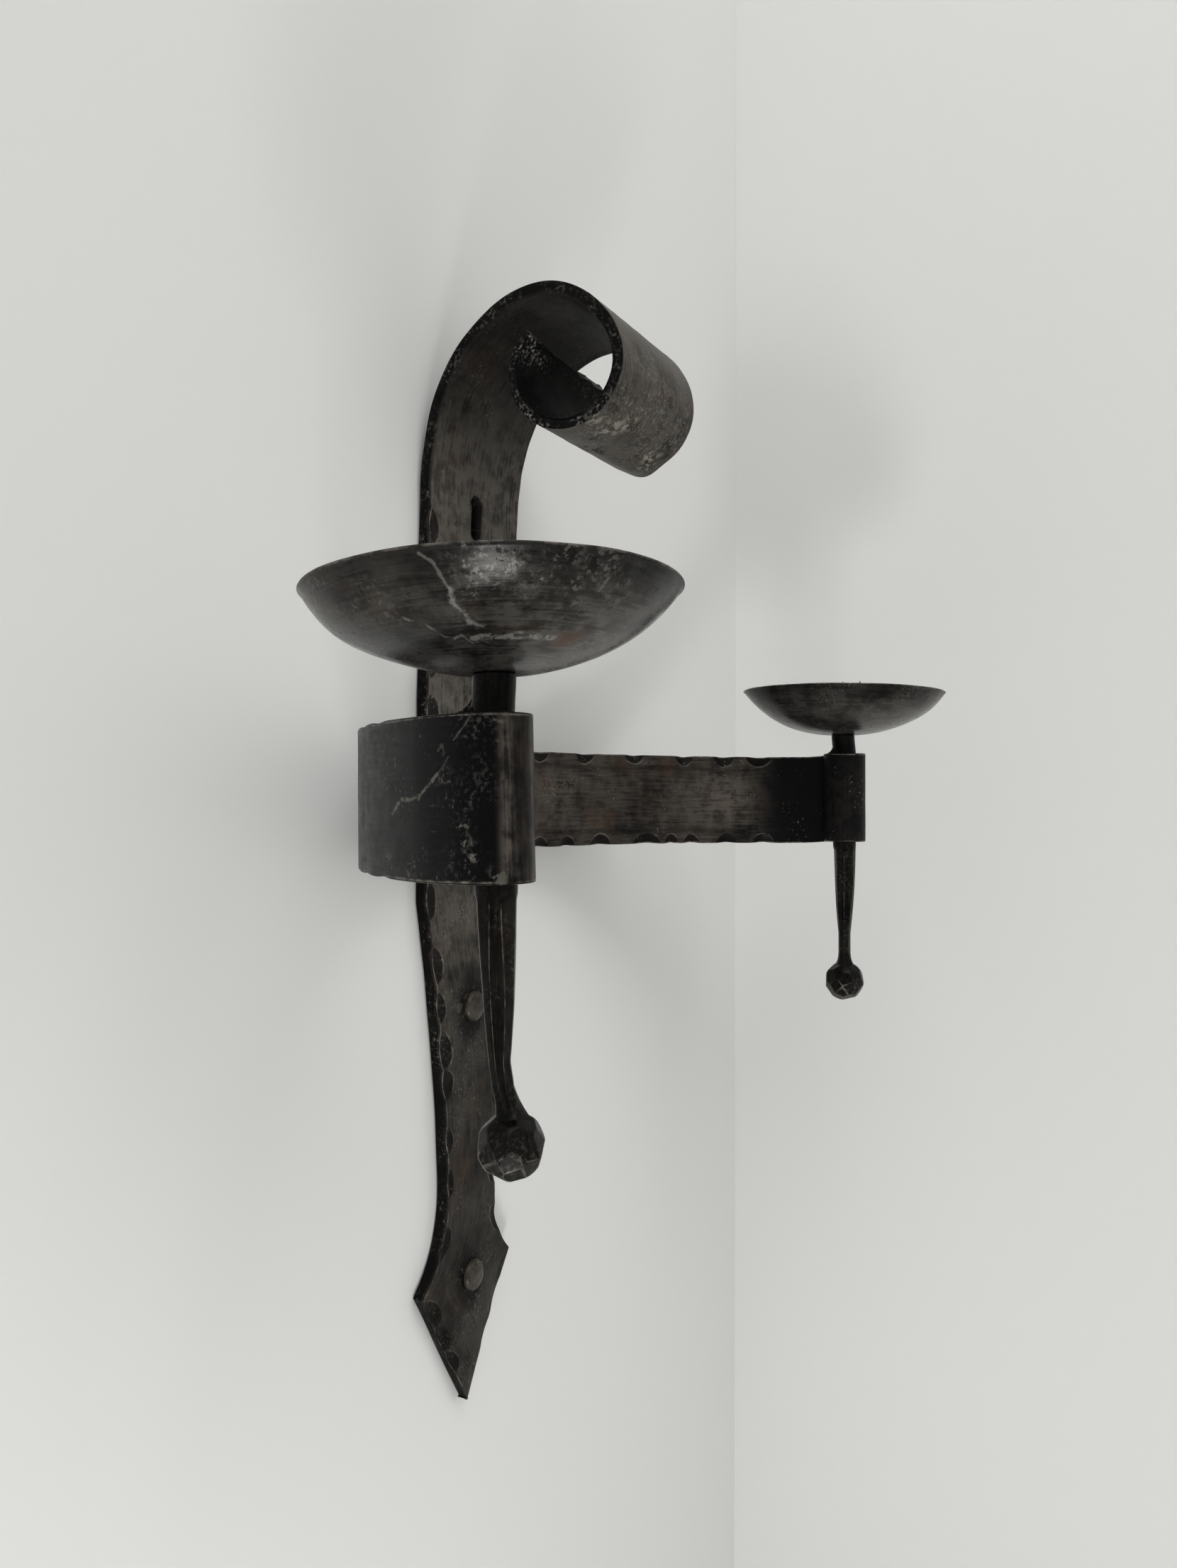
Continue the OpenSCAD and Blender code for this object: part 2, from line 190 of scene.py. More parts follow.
def turned_grain(profile, theta, pitch, start=0):
    """Grain map of a profile turned round an axis: along the profile, and then round."""
    way = np.concatenate([[0], np.cumsum(np.hypot(*np.diff(profile, axis=0).T))])
    round_ = np.append(theta, FULL_TURN) * pitch + start
    return grain_map(np.append(way, way[-1] + 3), round_[:, None], len(theta) + 1, len(way))


def front_marks(kinds, **values):
    """Marks for all columns from those of the front face, which also hold for its two corners."""
    front = np.flatnonzero(kinds == "front")
    first, after = front[0], front[-1] + 1
    marks = {}
    for key, value in values.items():
        marks[key] = np.zeros((len(value), len(kinds)))
        marks[key][:, front] = value
        marks[key][:, :first] = value[:, :1]
        marks[key][:, after: after + CORNER_COLUMNS] = value[:, -1:]
    return marks


def hand_over(piece, material, slot, *nodes):
    """Give the piece its finish and put it in the place of its CAD nodes."""
    piece.data.materials.clear()
    piece.data.materials.append(material)
    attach(piece, "root")
    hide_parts(*nodes)
    return piece


def turned(points, centre, axis, degrees, weight=1.0):
    """Points turned about an axis through `centre`, each by its own share of the angle."""
    axis = np.array(axis)
    angle = np.radians(degrees) * np.broadcast_to(weight, points.shape[:-1])[..., None]
    arm = points - centre
    return (centre + arm * np.cos(angle) + np.cross(axis, arm) * np.sin(angle)
            + (arm @ axis)[..., None] * axis * (1 - np.cos(angle)))


def torch_axis(side):
    """Place of a torch's axis seen from above, in millimetres."""
    return np.array([side * TORCH_X, TORCH_Y, 0.0])


def settle(side, points, sizes):
    """Points of a torch and what it carries, set as the hand-bent ends stand: a little out of true."""
    right, _, forward = camera_axes()
    eye = torch_axis(side)
    foot = eye + [0, 0, PAN_BASE]
    height = points[..., 2]
    above = smooth((height - PAN_BASE + 1.5) / 1.5)
    drift = smooth((height - ARM_HIGH) / (PAN_BASE - ARM_HIGH))[..., None] * np.array(right)
    if side == RIGHT:
        return points - 0.7 * drift
    ball_share = 0.45 + 0.55 * smooth((height + 84) / 22)
    points = turned(points, foot, right, -math.degrees(sizes.left_pan_tilt), above)
    return turned(points, eye, forward, -math.degrees(sizes.left_lean), ball_share) + 0.5 * drift


# ---------------------------------------------------------------- materials

# Attributes of the forged pieces that the finish reads: nearness to edges and to hammer blows, where a blow's outline
# can show, and how much soot and painted shade, crust, and rubbed wear and painted highlight each point carries
MARKS = ("edge", "blow", "rim", "soot", "crumb", "polish")


class Wire:
    """A socket of a node tree. Arithmetic on it adds Math nodes."""

    def __init__(self, tree, socket=None):
        self.tree, self.socket = tree, socket

    def node(self, kind, settings=None, values=None, output=0):
        """Any node: its settings first, then the values or links of its sockets."""
        made = self.tree.nodes.new(kind)
        for key, value in (settings or {}).items():
            if key == "stops":
                ramp = made.color_ramp
                while len(ramp.elements) < len(value):
                    ramp.elements.new(1)
                for element, (place, colour) in zip(ramp.elements, value):
                    element.position, element.color = place, colour
            else:
                setattr(made, key, value)
        for key, value in (values or {}).items():
            if isinstance(value, Wire):
                self.tree.links.new(value.socket, made.inputs[key])
            else:
                made.inputs[key].default_value = value
        return Wire(self.tree, made.outputs[output] if len(made.outputs) else None)

    def math(self, operation, *operands):
        return self.node("ShaderNodeMath", {"operation": operation}, dict(enumerate(operands)))

    def __add__(self, other):
        return self.math("ADD", self, other)

    __radd__ = __add__

    def __mul__(self, other):
        return self.math("MULTIPLY", self, other)

    __rmul__ = __mul__

    def __sub__(self, other):
        return self.math("SUBTRACT", self, other)

    def __rsub__(self, other):
        return self.math("SUBTRACT", other, self)

    def __abs__(self):
        return self.math("ABSOLUTE", self)

    def step(self, low, high):
        """0 below `low`, 1 above `high`, eased between; the other way round where low is above high."""
        return self.node("ShaderNodeMapRange", {"interpolation_type": "SMOOTHSTEP"},
                         {0: self, 1: min(low, high), 2: max(low, high),
                          3: 0.0 if low < high else 1.0, 4: 1.0 if low < high else 0.0})

    def part(self, output):
        """Another output of the node that this socket belongs to."""
        return Wire(self.tree, self.socket.node.outputs[output])

    def vector(self, operation, *operands, output=0):
        return self.node("ShaderNodeVectorMath", {"operation": operation}, dict(enumerate(operands)), output)

    def stretch(self, x, y, z=1.0):
        return self.vector("MULTIPLY", self, (x, y, z))

    def noise(self, scale, detail=2.0, rough=0.5, twist=0.0, output=0):
        return self.node("ShaderNodeTexNoise", {"normalize": True},
                         {"Vector": self, "Scale": scale, "Detail": detail, "Roughness": rough,
                          "Distortion": twist}, output)

    def mix(self, first, second, blend="MIX"):
        """Colour between the first and the second by this factor."""
        return self.node("ShaderNodeMix", {"data_type": "RGBA", "blend_type": blend},
                         {0: self, 6: first, 7: second}, output=2)


def rgba(colour):
    return (*colour, 1.0)


def metres(point):
    return tuple(c * MM for c in point)


def spot(place, centre, reach):
    """1 at a place of the object, easing to 0 at `reach` from it, all in millimetres."""
    return place.vector("DISTANCE", place, metres(centre), output=1).step(reach * MM, reach * MM * 0.25)


def scratch(grain, points, width, ragged):
    """Mask of one thin ragged scratch through places of the grain map, all in millimetres."""
    nearest = None
    for first, last in zip(points, points[1:]):
        begin = Vector((*metres(first), 0.0))
        along = Vector((*metres(last), 0.0)) - begin
        gap = grain.vector("SUBTRACT", grain, tuple(begin))
        share = gap.vector("DOT_PRODUCT", gap, tuple(along / along.length_squared), output=1)
        share = share.node("ShaderNodeClamp", None, {0: share})
        foot = share.node("ShaderNodeVectorMath", {"operation": "SCALE"}, {0: tuple(along), "Scale": share})
        away = gap.vector("DISTANCE", gap, foot, output=1)
        nearest = away if nearest is None else nearest.math("MINIMUM", nearest, away)
    return (nearest + ragged * (width * MM)).step(width * MM, width * MM * 0.35)


def forged_iron(name, dark, light, black=(0.0019, 0.0019, 0.0021), skin=None, rough=0.42, metal=0.3, gloss=0.05,
                brush=0.5, specks=0.5, rust=0.35, worn=(0.14, 0.128, 0.110), pale=(0.32, 0.305, 0.275), pits=0.5,
                relief=0.35, lines=(), spots=()):
    """Blackened, waxed iron: brushed along its grain, sooty in its hollows, worn bright at its edges, and darkened by
    painted shade and lightened by painted highlights where its marks ask.

    A line is its points and width, a spot its centre and reach. Both go on with the colour, the strength and the
    fineness of the grit, which is 0 for a whole line or a soft stain.
    """
    material = bpy.data.materials.new(name)
    material.use_nodes = True
    tree = material.node_tree
    tree.nodes.clear()
    start = Wire(tree)
    place = start.node("ShaderNodeTexCoord", output=3)
    grain = start.node("ShaderNodeUVMap", {"uv_map": "grain"})

    def mark(key):
        return start.node("ShaderNodeAttribute", {"attribute_name": key}, output=2)

    edge, blow, rim, soot, crumb, polish = (mark(key) for key in MARKS)
    cloud = place.noise(34, 3, 0.55)
    cloudlet = place.noise(170, 4, 0.62)
    streak = grain.stretch(1000, 60).noise(1.0, 4, 0.62)
    hair = grain.stretch(4600, 120).noise(1.0, 2, 0.5)
    tone = (cloud - 0.5) * 1.7 + (streak - 0.5) * (2.6 * brush) + (cloudlet - 0.5) * 1.3
    tone = tone + (hair - 0.5) * (1.1 * brush) + polish * 0.35
    colour = (tone + 0.5).step(-0.05, 1.05).mix(rgba(dark), rgba(light))
    reddish = place.noise(58, 4, 0.62).step(0.53, 0.70) * rust
    colour = reddish.mix(colour, rgba((light[0] * 1.05, light[1] * 0.72, light[2] * 0.55)))
    if skin:
        dull, bright = ([c * share for c in skin] for share in (0.72, 1.3))
        skin_tone = (cloudlet * 0.5 + streak * 0.5).step(0.36, 0.66).mix(rgba(dull), rgba(bright))
        colour = mark("skin").mix(colour, skin_tone)
    # Where hands and brushes have rubbed, and where a highlight is painted in, the iron shows lighter in broken
    # streaks
    rubbing_and_sheen = polish * (streak * 0.4 + cloudlet * 0.6).step(0.42, 0.58)
    colour = rubbing_and_sheen.mix(colour, rgba([c * 1.75 for c in light]))
    # Soot lies in the hammer marks and on the sides; the same mark paints shade round the rivets, beside the eyes,
    # under the pans' rims and towards the bar's foot
    ragged = blow + (cloudlet - 0.5) * 0.30
    inside = ragged.step(0.96, 1.10) * 0.86
    shade = inside.math("MAXIMUM", inside, soot * (0.90 + cloud * 0.26))
    shade = shade.math("MINIMUM", shade, 0.99)
    colour = shade.mix(colour, rgba(black))
    # Fine lines where the brushing has cut through to brighter iron
    fine = hair.step(0.66, 0.78) * cloud.step(0.42, 0.60) * (1.0 - shade) * (brush * 0.7)
    wear = place.noise(300, 3, 0.62)
    outline = abs(ragged - 1.0).step(0.085, 0.025) * rim * cloud.step(0.40, 0.56) * wear.step(0.34, 0.56)
    arris = (edge + (wear - 0.5) * 0.16).step(0.84, 0.95) * (0.25 + wear.step(0.40, 0.60) * 0.75)
    colour = (outline * 0.75).mix(colour, rgba(worn))
    colour = arris.mix(colour, rgba(worn))
    grit = place.noise(820, 3, 0.6)
    sparse = place.noise(70, 2, 0.5)
    crumbs = grit.step(0.63, 0.70) * sparse.step(0.50, 0.62) * specks
    crumbs = crumbs + grit.step(0.50, 0.62) * sparse.step(0.40, 0.58) * crumb
    bright = fine.math("MAXIMUM", fine, crumbs.math("MINIMUM", crumbs, 0.85))
    colour = bright.mix(colour, rgba(pale))
    holes = place.noise(620, 2, 0.5).step(0.32, 0.24) * pits
    colour = holes.mix(colour, rgba([c * 0.5 for c in black]))
    raised = bright
    # Single marks, each at its own place
    haze = place.noise(140, 3, 0.55, output=1)
    wander = haze.vector("MULTIPLY_ADD", haze, (0.0024,) * 3, place.vector("SUBTRACT", place, (0.0012,) * 3))
    shifted = grain.vector("SUBTRACT", grain, (0.001, 0.001, 0.0))
    waver = haze.vector("MULTIPLY_ADD", haze, (0.0020, 0.0020, 0.0), shifted)
    for points, width, tint, strength, fineness in lines:
        mask = scratch(waver, points, width, (wear - 0.5) * 1.8) * strength
        if fineness:
            mask = mask * place.noise(fineness, 4, 0.68).step(0.42, 0.54)
        colour = mask.mix(colour, rgba(tint))
    for centre, reach, tint, strength, fineness in spots:
        mask = spot(wander, centre, reach) * strength
        if fineness:
            mask = mask * place.noise(fineness, 4, 0.68).step(0.50, 0.59)
            raised = raised.math("MAXIMUM", raised, mask)
        colour = mask.mix(colour, rgba(tint))

    height = streak * (0.35 * brush) + cloudlet * 0.55 + hair * (0.14 * brush) - holes * 0.8 + raised * 0.25
    normal = start.node("ShaderNodeBump", None, {"Strength": relief, "Distance": 0.00035, "Height": height})
    roughness = ((cloudlet - 0.5) * 0.35 + (streak - 0.5) * (0.4 * brush) + holes * 0.2 + raised * 0.2
                 + shade * 0.05 + rough)
    surface = start.node("ShaderNodeBsdfPrincipled", None, {
        "Base Color": colour, "Metallic": (1.0 - shade) * metal, "Roughness": roughness, "Specular IOR Level": gloss,
        "Normal": normal})
    start.node("ShaderNodeOutputMaterial", None, {"Surface": surface})
    return material


# ---------------------------------------------------------------- the bar

BAR_MARKS = (  # half-dished marks on the front's edges: side, height, half width, half length, depth
    (LEFT, 103, 5.0, 7.0, 1.0), (LEFT, 53, 6.5, 7.5, 1.1), (LEFT, 31, 7.0, 8.5, 1.2), (RIGHT, 30, 7.0, 8.0, 1.1),
    (LEFT, -38, 5.0, 7.5, 1.0), (LEFT, -63, 5.5, 7.4, 1.2), (LEFT, -79.5, 5.0, 6.0, 1.1),
    (LEFT, -96.5, 6.6, 8.0, 1.5), (LEFT, -109.5, 6.0, 6.4, 1.3), (LEFT, -131, 4.0, 5.4, 1.0),
    (LEFT, -148, 3.0, 6.0, 0.8), (LEFT, -170, 4.5, 6.0, 0.9), (LEFT, -194, 6.5, 6.5, 1.1),
    (LEFT, -206, 6.0, 6.0, 1.3), (LEFT, -218, 5.0, 5.5, 1.2),
    (RIGHT, -120, 4.2, 5.5, 0.8), (RIGHT, -136, 4.5, 6.0, 1.1), (RIGHT, -150, 5.0, 6.5, 1.2),
    (RIGHT, -171, 4.2, 6.0, 0.9), (RIGHT, -203, 3.5, 6.0, 0.6), (RIGHT, -216, 3.0, 5.0, 0.5),
    (RIGHT, -66, 4.0, 6.0, 0.9), (RIGHT, -88, 4.4, 6.5, 1.0), (RIGHT, -103, 4.0, 5.5, 0.8),
)


def half_outlines(height, sizes):
    """Distances from the middle line to the bar's left and right edges at each height."""
    top, bottom = -sizes.taper_depth / MM, -sizes.neck_depth / MM
    full, neck = sizes.bar_width / MM / 2, sizes.neck_width / MM / 2
    t = np.linspace(0, 1, 200)
    hold = [(full, top), (full, top - 2), (neck, bottom + 45), (neck, bottom)]
    weights = [(1 - t) ** 3, 3 * t * (1 - t) ** 2, 3 * t * t * (1 - t), t ** 3]
    width = sum(w * p[0] for w, p in zip(weights, hold))
    level = sum(w * p[1] for w, p in zip(weights, hold))
    stem = np.interp(-height, -level, width)
    corner = -sizes.foot_depth / MM
    out = []
    for start, corner_x, tip_x in ((bottom, 31.0, 0.5), (bottom - 7, 27.8, -0.5)):
        side, fall = corner_x - neck, start - corner
        radius = (side * side + fall * fall) / (2 * side)
        flare = neck + radius - np.sqrt(np.clip(radius ** 2 - np.clip(start - height, 0, fall) ** 2, 0, None))
        point = tip_x + (corner_x - tip_x) * np.clip((height - BAR_FOOT) / (corner - BAR_FOOT), 0, 1)
        out.append(np.where(height < corner, point, np.where(height < start, flare, stem)))
    return out


# How sharply the scroll bends at evenly spaced places from the wall to its end, per millimetre
SCROLL_BENDS = (0.0034, -0.0010, 0.0100, 0.0173, 0.0186, 0.0317, 0.0217, 0.0489, 0.0426, 0.0385, 0.0689)


def bar_course(run, sizes):
    """Distance from the wall, height, heading and thickness along the bar's back, and the share of the scroll."""
    rise, length = sizes.bar_rise / MM, sizes.scroll_length / MM
    straight = rise - BAR_FOOT
    share = np.clip((run - straight) / length, 0, 1)
    fine = np.linspace(0, length, 1500)
    bend = np.interp(fine, np.linspace(0, length, len(SCROLL_BENDS)), SCROLL_BENDS)

    def summed(values):
        return np.concatenate([[0], np.cumsum((values[1:] + values[:-1]) / 2 * (fine[1] - fine[0]))])

    turning = summed(bend)
    away = np.interp(share * length, fine, summed(np.sin(turning)))
    height = BAR_FOOT + np.minimum(run, straight) + np.interp(share * length, fine, summed(np.cos(turning)))
    heading = np.interp(share * length, fine, turning)
    thick = sizes.bar_thickness / MM * (1 - share) + sizes.tail_thickness / MM * share
    return away, height, heading, thick, straight, straight + length, share


def spread(count, crowd):
    """Places from 0 to 1 that crowd towards both ends."""
    t = np.linspace(-1, 1, count)
    return 0.5 + 0.5 * np.sign(t) * (1 - (1 - np.abs(t)) ** crowd)


def flat_section(low, high, thick, front, back, corner, front_count, back_count, side_count):
    """Closed sections of a flat bar with rounded corners.

    low and high are the two edges, front and back are how far each face is sunk at each column of its own,
    and the result is places across, depths from the back, and which part each column belongs to.
    """
    turn = np.linspace(0, np.pi / 2, CORNER_COLUMNS)
    across, depth, part = [], [], []

    def add(x, d, kind):
        across.append(x)
        depth.append(d)
        part.append(kind)

    q = spread(front_count, 1.6)
    for a in turn:  # front's low corner, from the side to the front
        add(low + corner * (1 - np.sin(a)), thick - front[0] - corner * (1 - np.cos(np.pi / 2 - a)), "edge")
    for k in range(front_count):
        add(low + corner + (high - low - 2 * corner) * q[k], thick - front[k], "front")
    for a in turn[::-1]:
        add(high - corner * (1 - np.sin(a)), thick - front[-1] - corner * (1 - np.cos(np.pi / 2 - a)), "edge")
    for k in range(side_count):
        f = (k + 1) / (side_count + 1)
        add(high + 0 * thick, (thick - front[-1] - corner) * (1 - f) + corner * f, "side")
    add(high + 0 * thick, corner + 0 * thick, "side")
    add(high - corner * 0.3, corner * 0.3 + 0 * thick, "side")
    p = np.linspace(0, 1, back_count)
    for k in range(back_count):
        add(high - corner - (high - low - 2 * corner) * p[k], back[k] + 0 * thick, "back")
    add(low + corner * 0.3, corner * 0.3 + 0 * thick, "side")
    add(low + 0 * thick, corner + 0 * thick, "side")
    for k in range(side_count):
        f = (k + 1) / (side_count + 1)
        add(low + 0 * thick, corner * (1 - f) + (thick - front[0] - corner) * f, "side")
    return np.stack(across, -1), np.stack(depth, -1), part


def bar_front_places(low, high, corner, count):
    q = spread(count, 1.6)
    return low[:, None] + corner + (high - low - 2 * corner)[:, None] * q


def build_bar(sizes):
    """The flat bar: arrow foot, hammered taper, hanging slot and scroll."""
    total = bar_course(np.zeros(1), sizes)[5]
    run = np.linspace(0, total, int(total / 0.75))
    away, height, heading, thick, straight, total, share = bar_course(run, sizes)
    left, right = half_outlines(BAR_FOOT + np.minimum(run, straight), sizes)
    low = -left + 0.2 * ripple(run, 0 * run, 7, 11) + 0.2
    high = right + 0.2 * ripple(run, 0 * run, 7, 12) - 0.2
    # The smith thinned the foot's edges and drew the tip out
    foot = smooth((-170 - height) / 40) * (run < 80)
    level = BAR_FOOT + run
    corner, count, back_count = 0.4, 44, 22
    across = bar_front_places(low, high, corner, count)
    grid = level[:, None] + 0 * across
    row_left, row_right = low[:, None], high[:, None]
    depth, blow, rim = np.zeros_like(across), np.zeros_like(across), np.zeros_like(across)
    for side, from_edge in ((LEFT, across - row_left), (RIGHT, row_right - across)):
        blows = [(0.0, z, half, span, deep) for which, z, half, span, deep in BAR_MARKS if which == side]
        one = hammer(from_edge, grid, blows)
        depth = np.maximum(depth, one[0])
        rim = np.where(one[1] > blow, one[2], rim)
        blow = np.maximum(blow, one[1])
    near_edge = np.minimum(across - row_left, row_right - across)
    dimples = (0.10 + 0.20 * smooth((-95 - grid) / 40)) * (1 + ripple(across, grid, 9, 13))
    dimples = (dimples + 0.05 * (1 + ripple(across, grid, 3.2, 14))) * smooth(near_edge / 4)
    thin = (thick[:, None] - 4.2) * foot[:, None] * np.exp(-np.clip(near_edge, 0, None) / 7)
    depth = depth + np.clip(dimples, 0, 1) + thin
    back_grid = grid[:, :back_count]
    back = 0.10 * (1 + ripple(across[:, :back_count] * 2, back_grid, 5, 15))
    back = np.clip(np.where((run > straight)[:, None], back, 0.0), 0, None)
    x, d, part = flat_section(low, high, thick, depth.T, back.T, corner, count, back_count, 3)
    # The far edge of the curl was rolled less tightly at its foot, where it took a blow
    bulge = 2.1 * np.exp(-((heading - 4.69) / 0.27) ** 2)[:, None] * smooth((x + 4) / 30)
    d = d - bulge
    # The sheared end is ragged and longer on the left
    end = share[:, None]
    ragged = 0.5 * smooth((end - 0.985) / 0.015) * ripple(x, d, 5, 18)
    ragged = ragged + 2.2 * smooth((end - 0.96) / 0.04) * smooth((-x - 6) / 24)
    cos, sin = np.cos(heading)[:, None], np.sin(heading)[:, None]
    away_, height_ = away[:, None] + ragged * sin, height[:, None] + ragged * cos
    # The scroll was rolled slightly askew
    askew = smooth(share / 0.4)[:, None] * x
    out = away_ + d * cos - askew * math.sin(sizes.scroll_twist)
    up = height_ - d * sin - askew * math.sin(sizes.scroll_skew)
    rings = np.stack([x, -out, up], -1)
    kinds = np.array(part)
    pad = np.zeros_like(x)
    front, rear = np.flatnonzero(kinds == "front"), np.flatnonzero(kinds == "back")
    fade = (1 - 0.8 * smooth((run - straight - 30) / 70))[:, None]
    edge = np.where(kinds == "edge", 1.0, 0.0)[None, :] + pad
    edge[:, front] = np.clip(1 - near_edge / 4, 0, 1)
    edge = edge * fade * np.clip(0.97 + 0.10 * ripple(x, grid[:, :1] + pad, 14, 17), 0, 1)
    marks = {"edge": edge, **front_marks(kinds, blow=blow, rim=rim)}
    soot = pad.copy()
    # Painted shade round the two rivet heads, fading out beyond them
    for z in (-sizes.stem_rivet_depth / MM, -sizes.foot_rivet_depth / MM):
        halo = np.hypot(x + 1.5, (level[:, None] - z + 1.5) * 0.75)
        soot = np.maximum(soot, 0.85 * np.exp(-(np.clip(halo - 6, 0, None) / 5.0) ** 2))
    # Painted shade: the bar grows darker towards its foot
    soot = np.maximum(soot, 0.34 * smooth((-70 - grid[:, :1]) / 60))
    # Darker inside the scroll, more so towards its end
    inside = 0.56 * smooth((share - 0.20) / 0.16) + 0.44 * smooth((share - 0.52) / 0.12)
    soot = np.maximum(soot, inside[:, None])
    soot[:, rear] = np.where(share > 0.35, 0.0, 0.5)[:, None]
    soot[:, kinds == "side"] = 0.93
    marks["soot"] = soot
    # Whitish crumbs stick to the sides of the scroll, most of all at its ragged end
    crumb = pad + 0.05
    crumb[:, kinds == "side"] = (0.05 + 0.08 * smooth((level - 60) / 40) + 0.3 * smooth((share - 0.7) / 0.1))[:, None]
    crumb = np.maximum(crumb, 0.9 * smooth((share - 0.955) / 0.03)[:, None] * (0.12 + 0.88 * smooth((-x - 8) / 14)))
    crumb[:, rear] = np.maximum(crumb[:, rear], (0.22 * smooth((share - 0.5) / 0.1))[:, None])
    marks["crumb"] = crumb
    polish = pad.copy()
    polish[:, front] = (0.85 * np.exp(-((grid - 38) / 15) ** 2) + 0.40 * np.exp(-((grid + 44) / 20) ** 2)
                        + 0.85 * np.exp(-((grid - 112) / 30) ** 2))
    polish[:, rear] = (0.4 * smooth((share - 0.45) / 0.1))[:, None]
    marks["polish"] = polish
    girth = np.hypot(np.diff(x, axis=1, append=x[:, :1]), np.diff(d, axis=1, append=d[:, :1]))
    grain = np.stack([np.cumsum(girth, 1), run[:, None] + pad], -1)
    grain = np.concatenate([grain[:, :1] * [0, 1], grain], 1)
    bar = loft("back_bar_forged", rings, grain, marks)
    cut_slot(bar, sizes)
    return bar


def cut_slot(bar, sizes):
    """Cut the hanging slot straight to the front, with the wavering edge of a punched and filed hole."""
    half, reach = sizes.slot_width / MM / 2, (sizes.slot_length - sizes.slot_width) / MM / 2
    angle = np.linspace(0, FULL_TURN, 48, endpoint=False)
    waver = 1 + 0.05 * np.sin(3 * angle + 1) + 0.035 * np.sin(7 * angle)
    x = half * np.cos(angle) * waver
    z = half * np.sin(angle) * waver + np.sign(np.sin(angle)) * reach + sizes.slot_rise / MM
    rings = np.stack([np.stack([x, 0 * x + y, z], -1) for y in (2.0, -16.0)])
    cutter = loft("slot_cutter", rings, np.zeros((2, 49, 2)))
    old = KDTree(len(bar.data.vertices))
    for k, vertex in enumerate(bar.data.vertices):
        old.insert(vertex.co, k)
    old.balance()
    values = {key: [item.value for item in bar.data.attributes[key].data] for key in MARKS}
    cut = bar.modifiers.new("slot", "BOOLEAN")
    cut.operation, cut.solver, cut.object = "DIFFERENCE", "EXACT", cutter
    graph = bpy.context.evaluated_depsgraph_get()
    mesh = bpy.data.meshes.new_from_object(bar.evaluated_get(graph))
    bar.modifiers.clear()
    for key in MARKS:
        if key in mesh.attributes:
            mesh.attributes.remove(mesh.attributes[key])
        attribute = mesh.attributes.new(key, "FLOAT", "POINT")
        for vertex in mesh.vertices:
            _, nearest, distance = old.find(vertex.co)
            away = math.hypot(vertex.co.x, max(0, abs(vertex.co.z - sizes.slot_rise) - reach * MM)) / MM - half
            on_rim = distance > 1e-5 and abs(vertex.co.x) < 0.007
            value = values[key][nearest]
            # The slot's wall is made dark, near-black towards the back, and its front rim worn bright
            if on_rim and abs(away) < 0.8:
                in_front = vertex.co.y < -4 * MM
                if key == "edge":
                    value = 0.95 if in_front else 0.0
                if key == "soot":
                    value = 0.3 if in_front else 1.1
                if key in ("blow", "crumb", "polish"):
                    value = 0.0
            attribute.data[vertex.index].value = value
    bar.data = mesh
    mesh.set_sharp_from_angle(angle=math.radians(40))
    bpy.data.objects.remove(cutter)


# ---------------------------------------------------------------- the arm

# Hammer marks on the arm's edges: distance from the middle along the outer side, half length
TOP_NOTCHES = ((24, 4.5), (40.7, 5.5), (68.9, 5.8), (97.5, 5.4), (124.5, 4.8), (145.1, 5.2), (162.6, 6.5))
LOW_NOTCHES = ((24, 5.0), (40.9, 5.6), (58.2, 4.8), (78.3, 6.0), (104.3, 8.0), (117.8, 3.8), (128.3, 4.2),
               (146.6, 5.4), (164.8, 5.2))

# How far round the eyes are rolled, in degrees, and in millimetres from the middle along the outer side, where they
# stand and where the left end's lean turns
EYE_TURN, EYE_START, LEAN_PIVOT = 295.3, 208.5, 122.0


def arm_course(run, sizes):
    """Place and heading seen from above, along the outer side of the arm's right half."""
    half = sizes.arm_seat / MM / 2
    done, h = half, 0.0
    eye_radius = sizes.rod_diameter / MM / 2 + 0.15 + sizes.arm_thickness / MM
    arcs = ((sizes.bow_radius / MM, sizes.bow_turn), (sizes.bend_radius / MM, math.pi / 2 - sizes.bow_turn),
            (eye_radius, math.radians(EYE_TURN)))
    x = np.minimum(run, half)
    n = np.zeros_like(run) + sizes.bar_thickness / MM
    heading = np.zeros_like(run)
    x0, n0 = half, sizes.bar_thickness / MM
    for radius, turn in arcs:
        part = np.clip((run - done) / radius, 0, turn)
        inside = run > done
        x = np.where(inside, x0 + radius * (np.sin(h + part) - math.sin(h)), x)
        n = np.where(inside, n0 + radius * (math.cos(h) - np.cos(h + part)), n)
        heading = np.where(inside, h + part, heading)
        x0 += radius * (math.sin(h + turn) - math.sin(h))
        n0 += radius * (math.cos(h) - math.cos(h + turn))
        h += turn
        done += radius * turn
    return x, n, heading, done


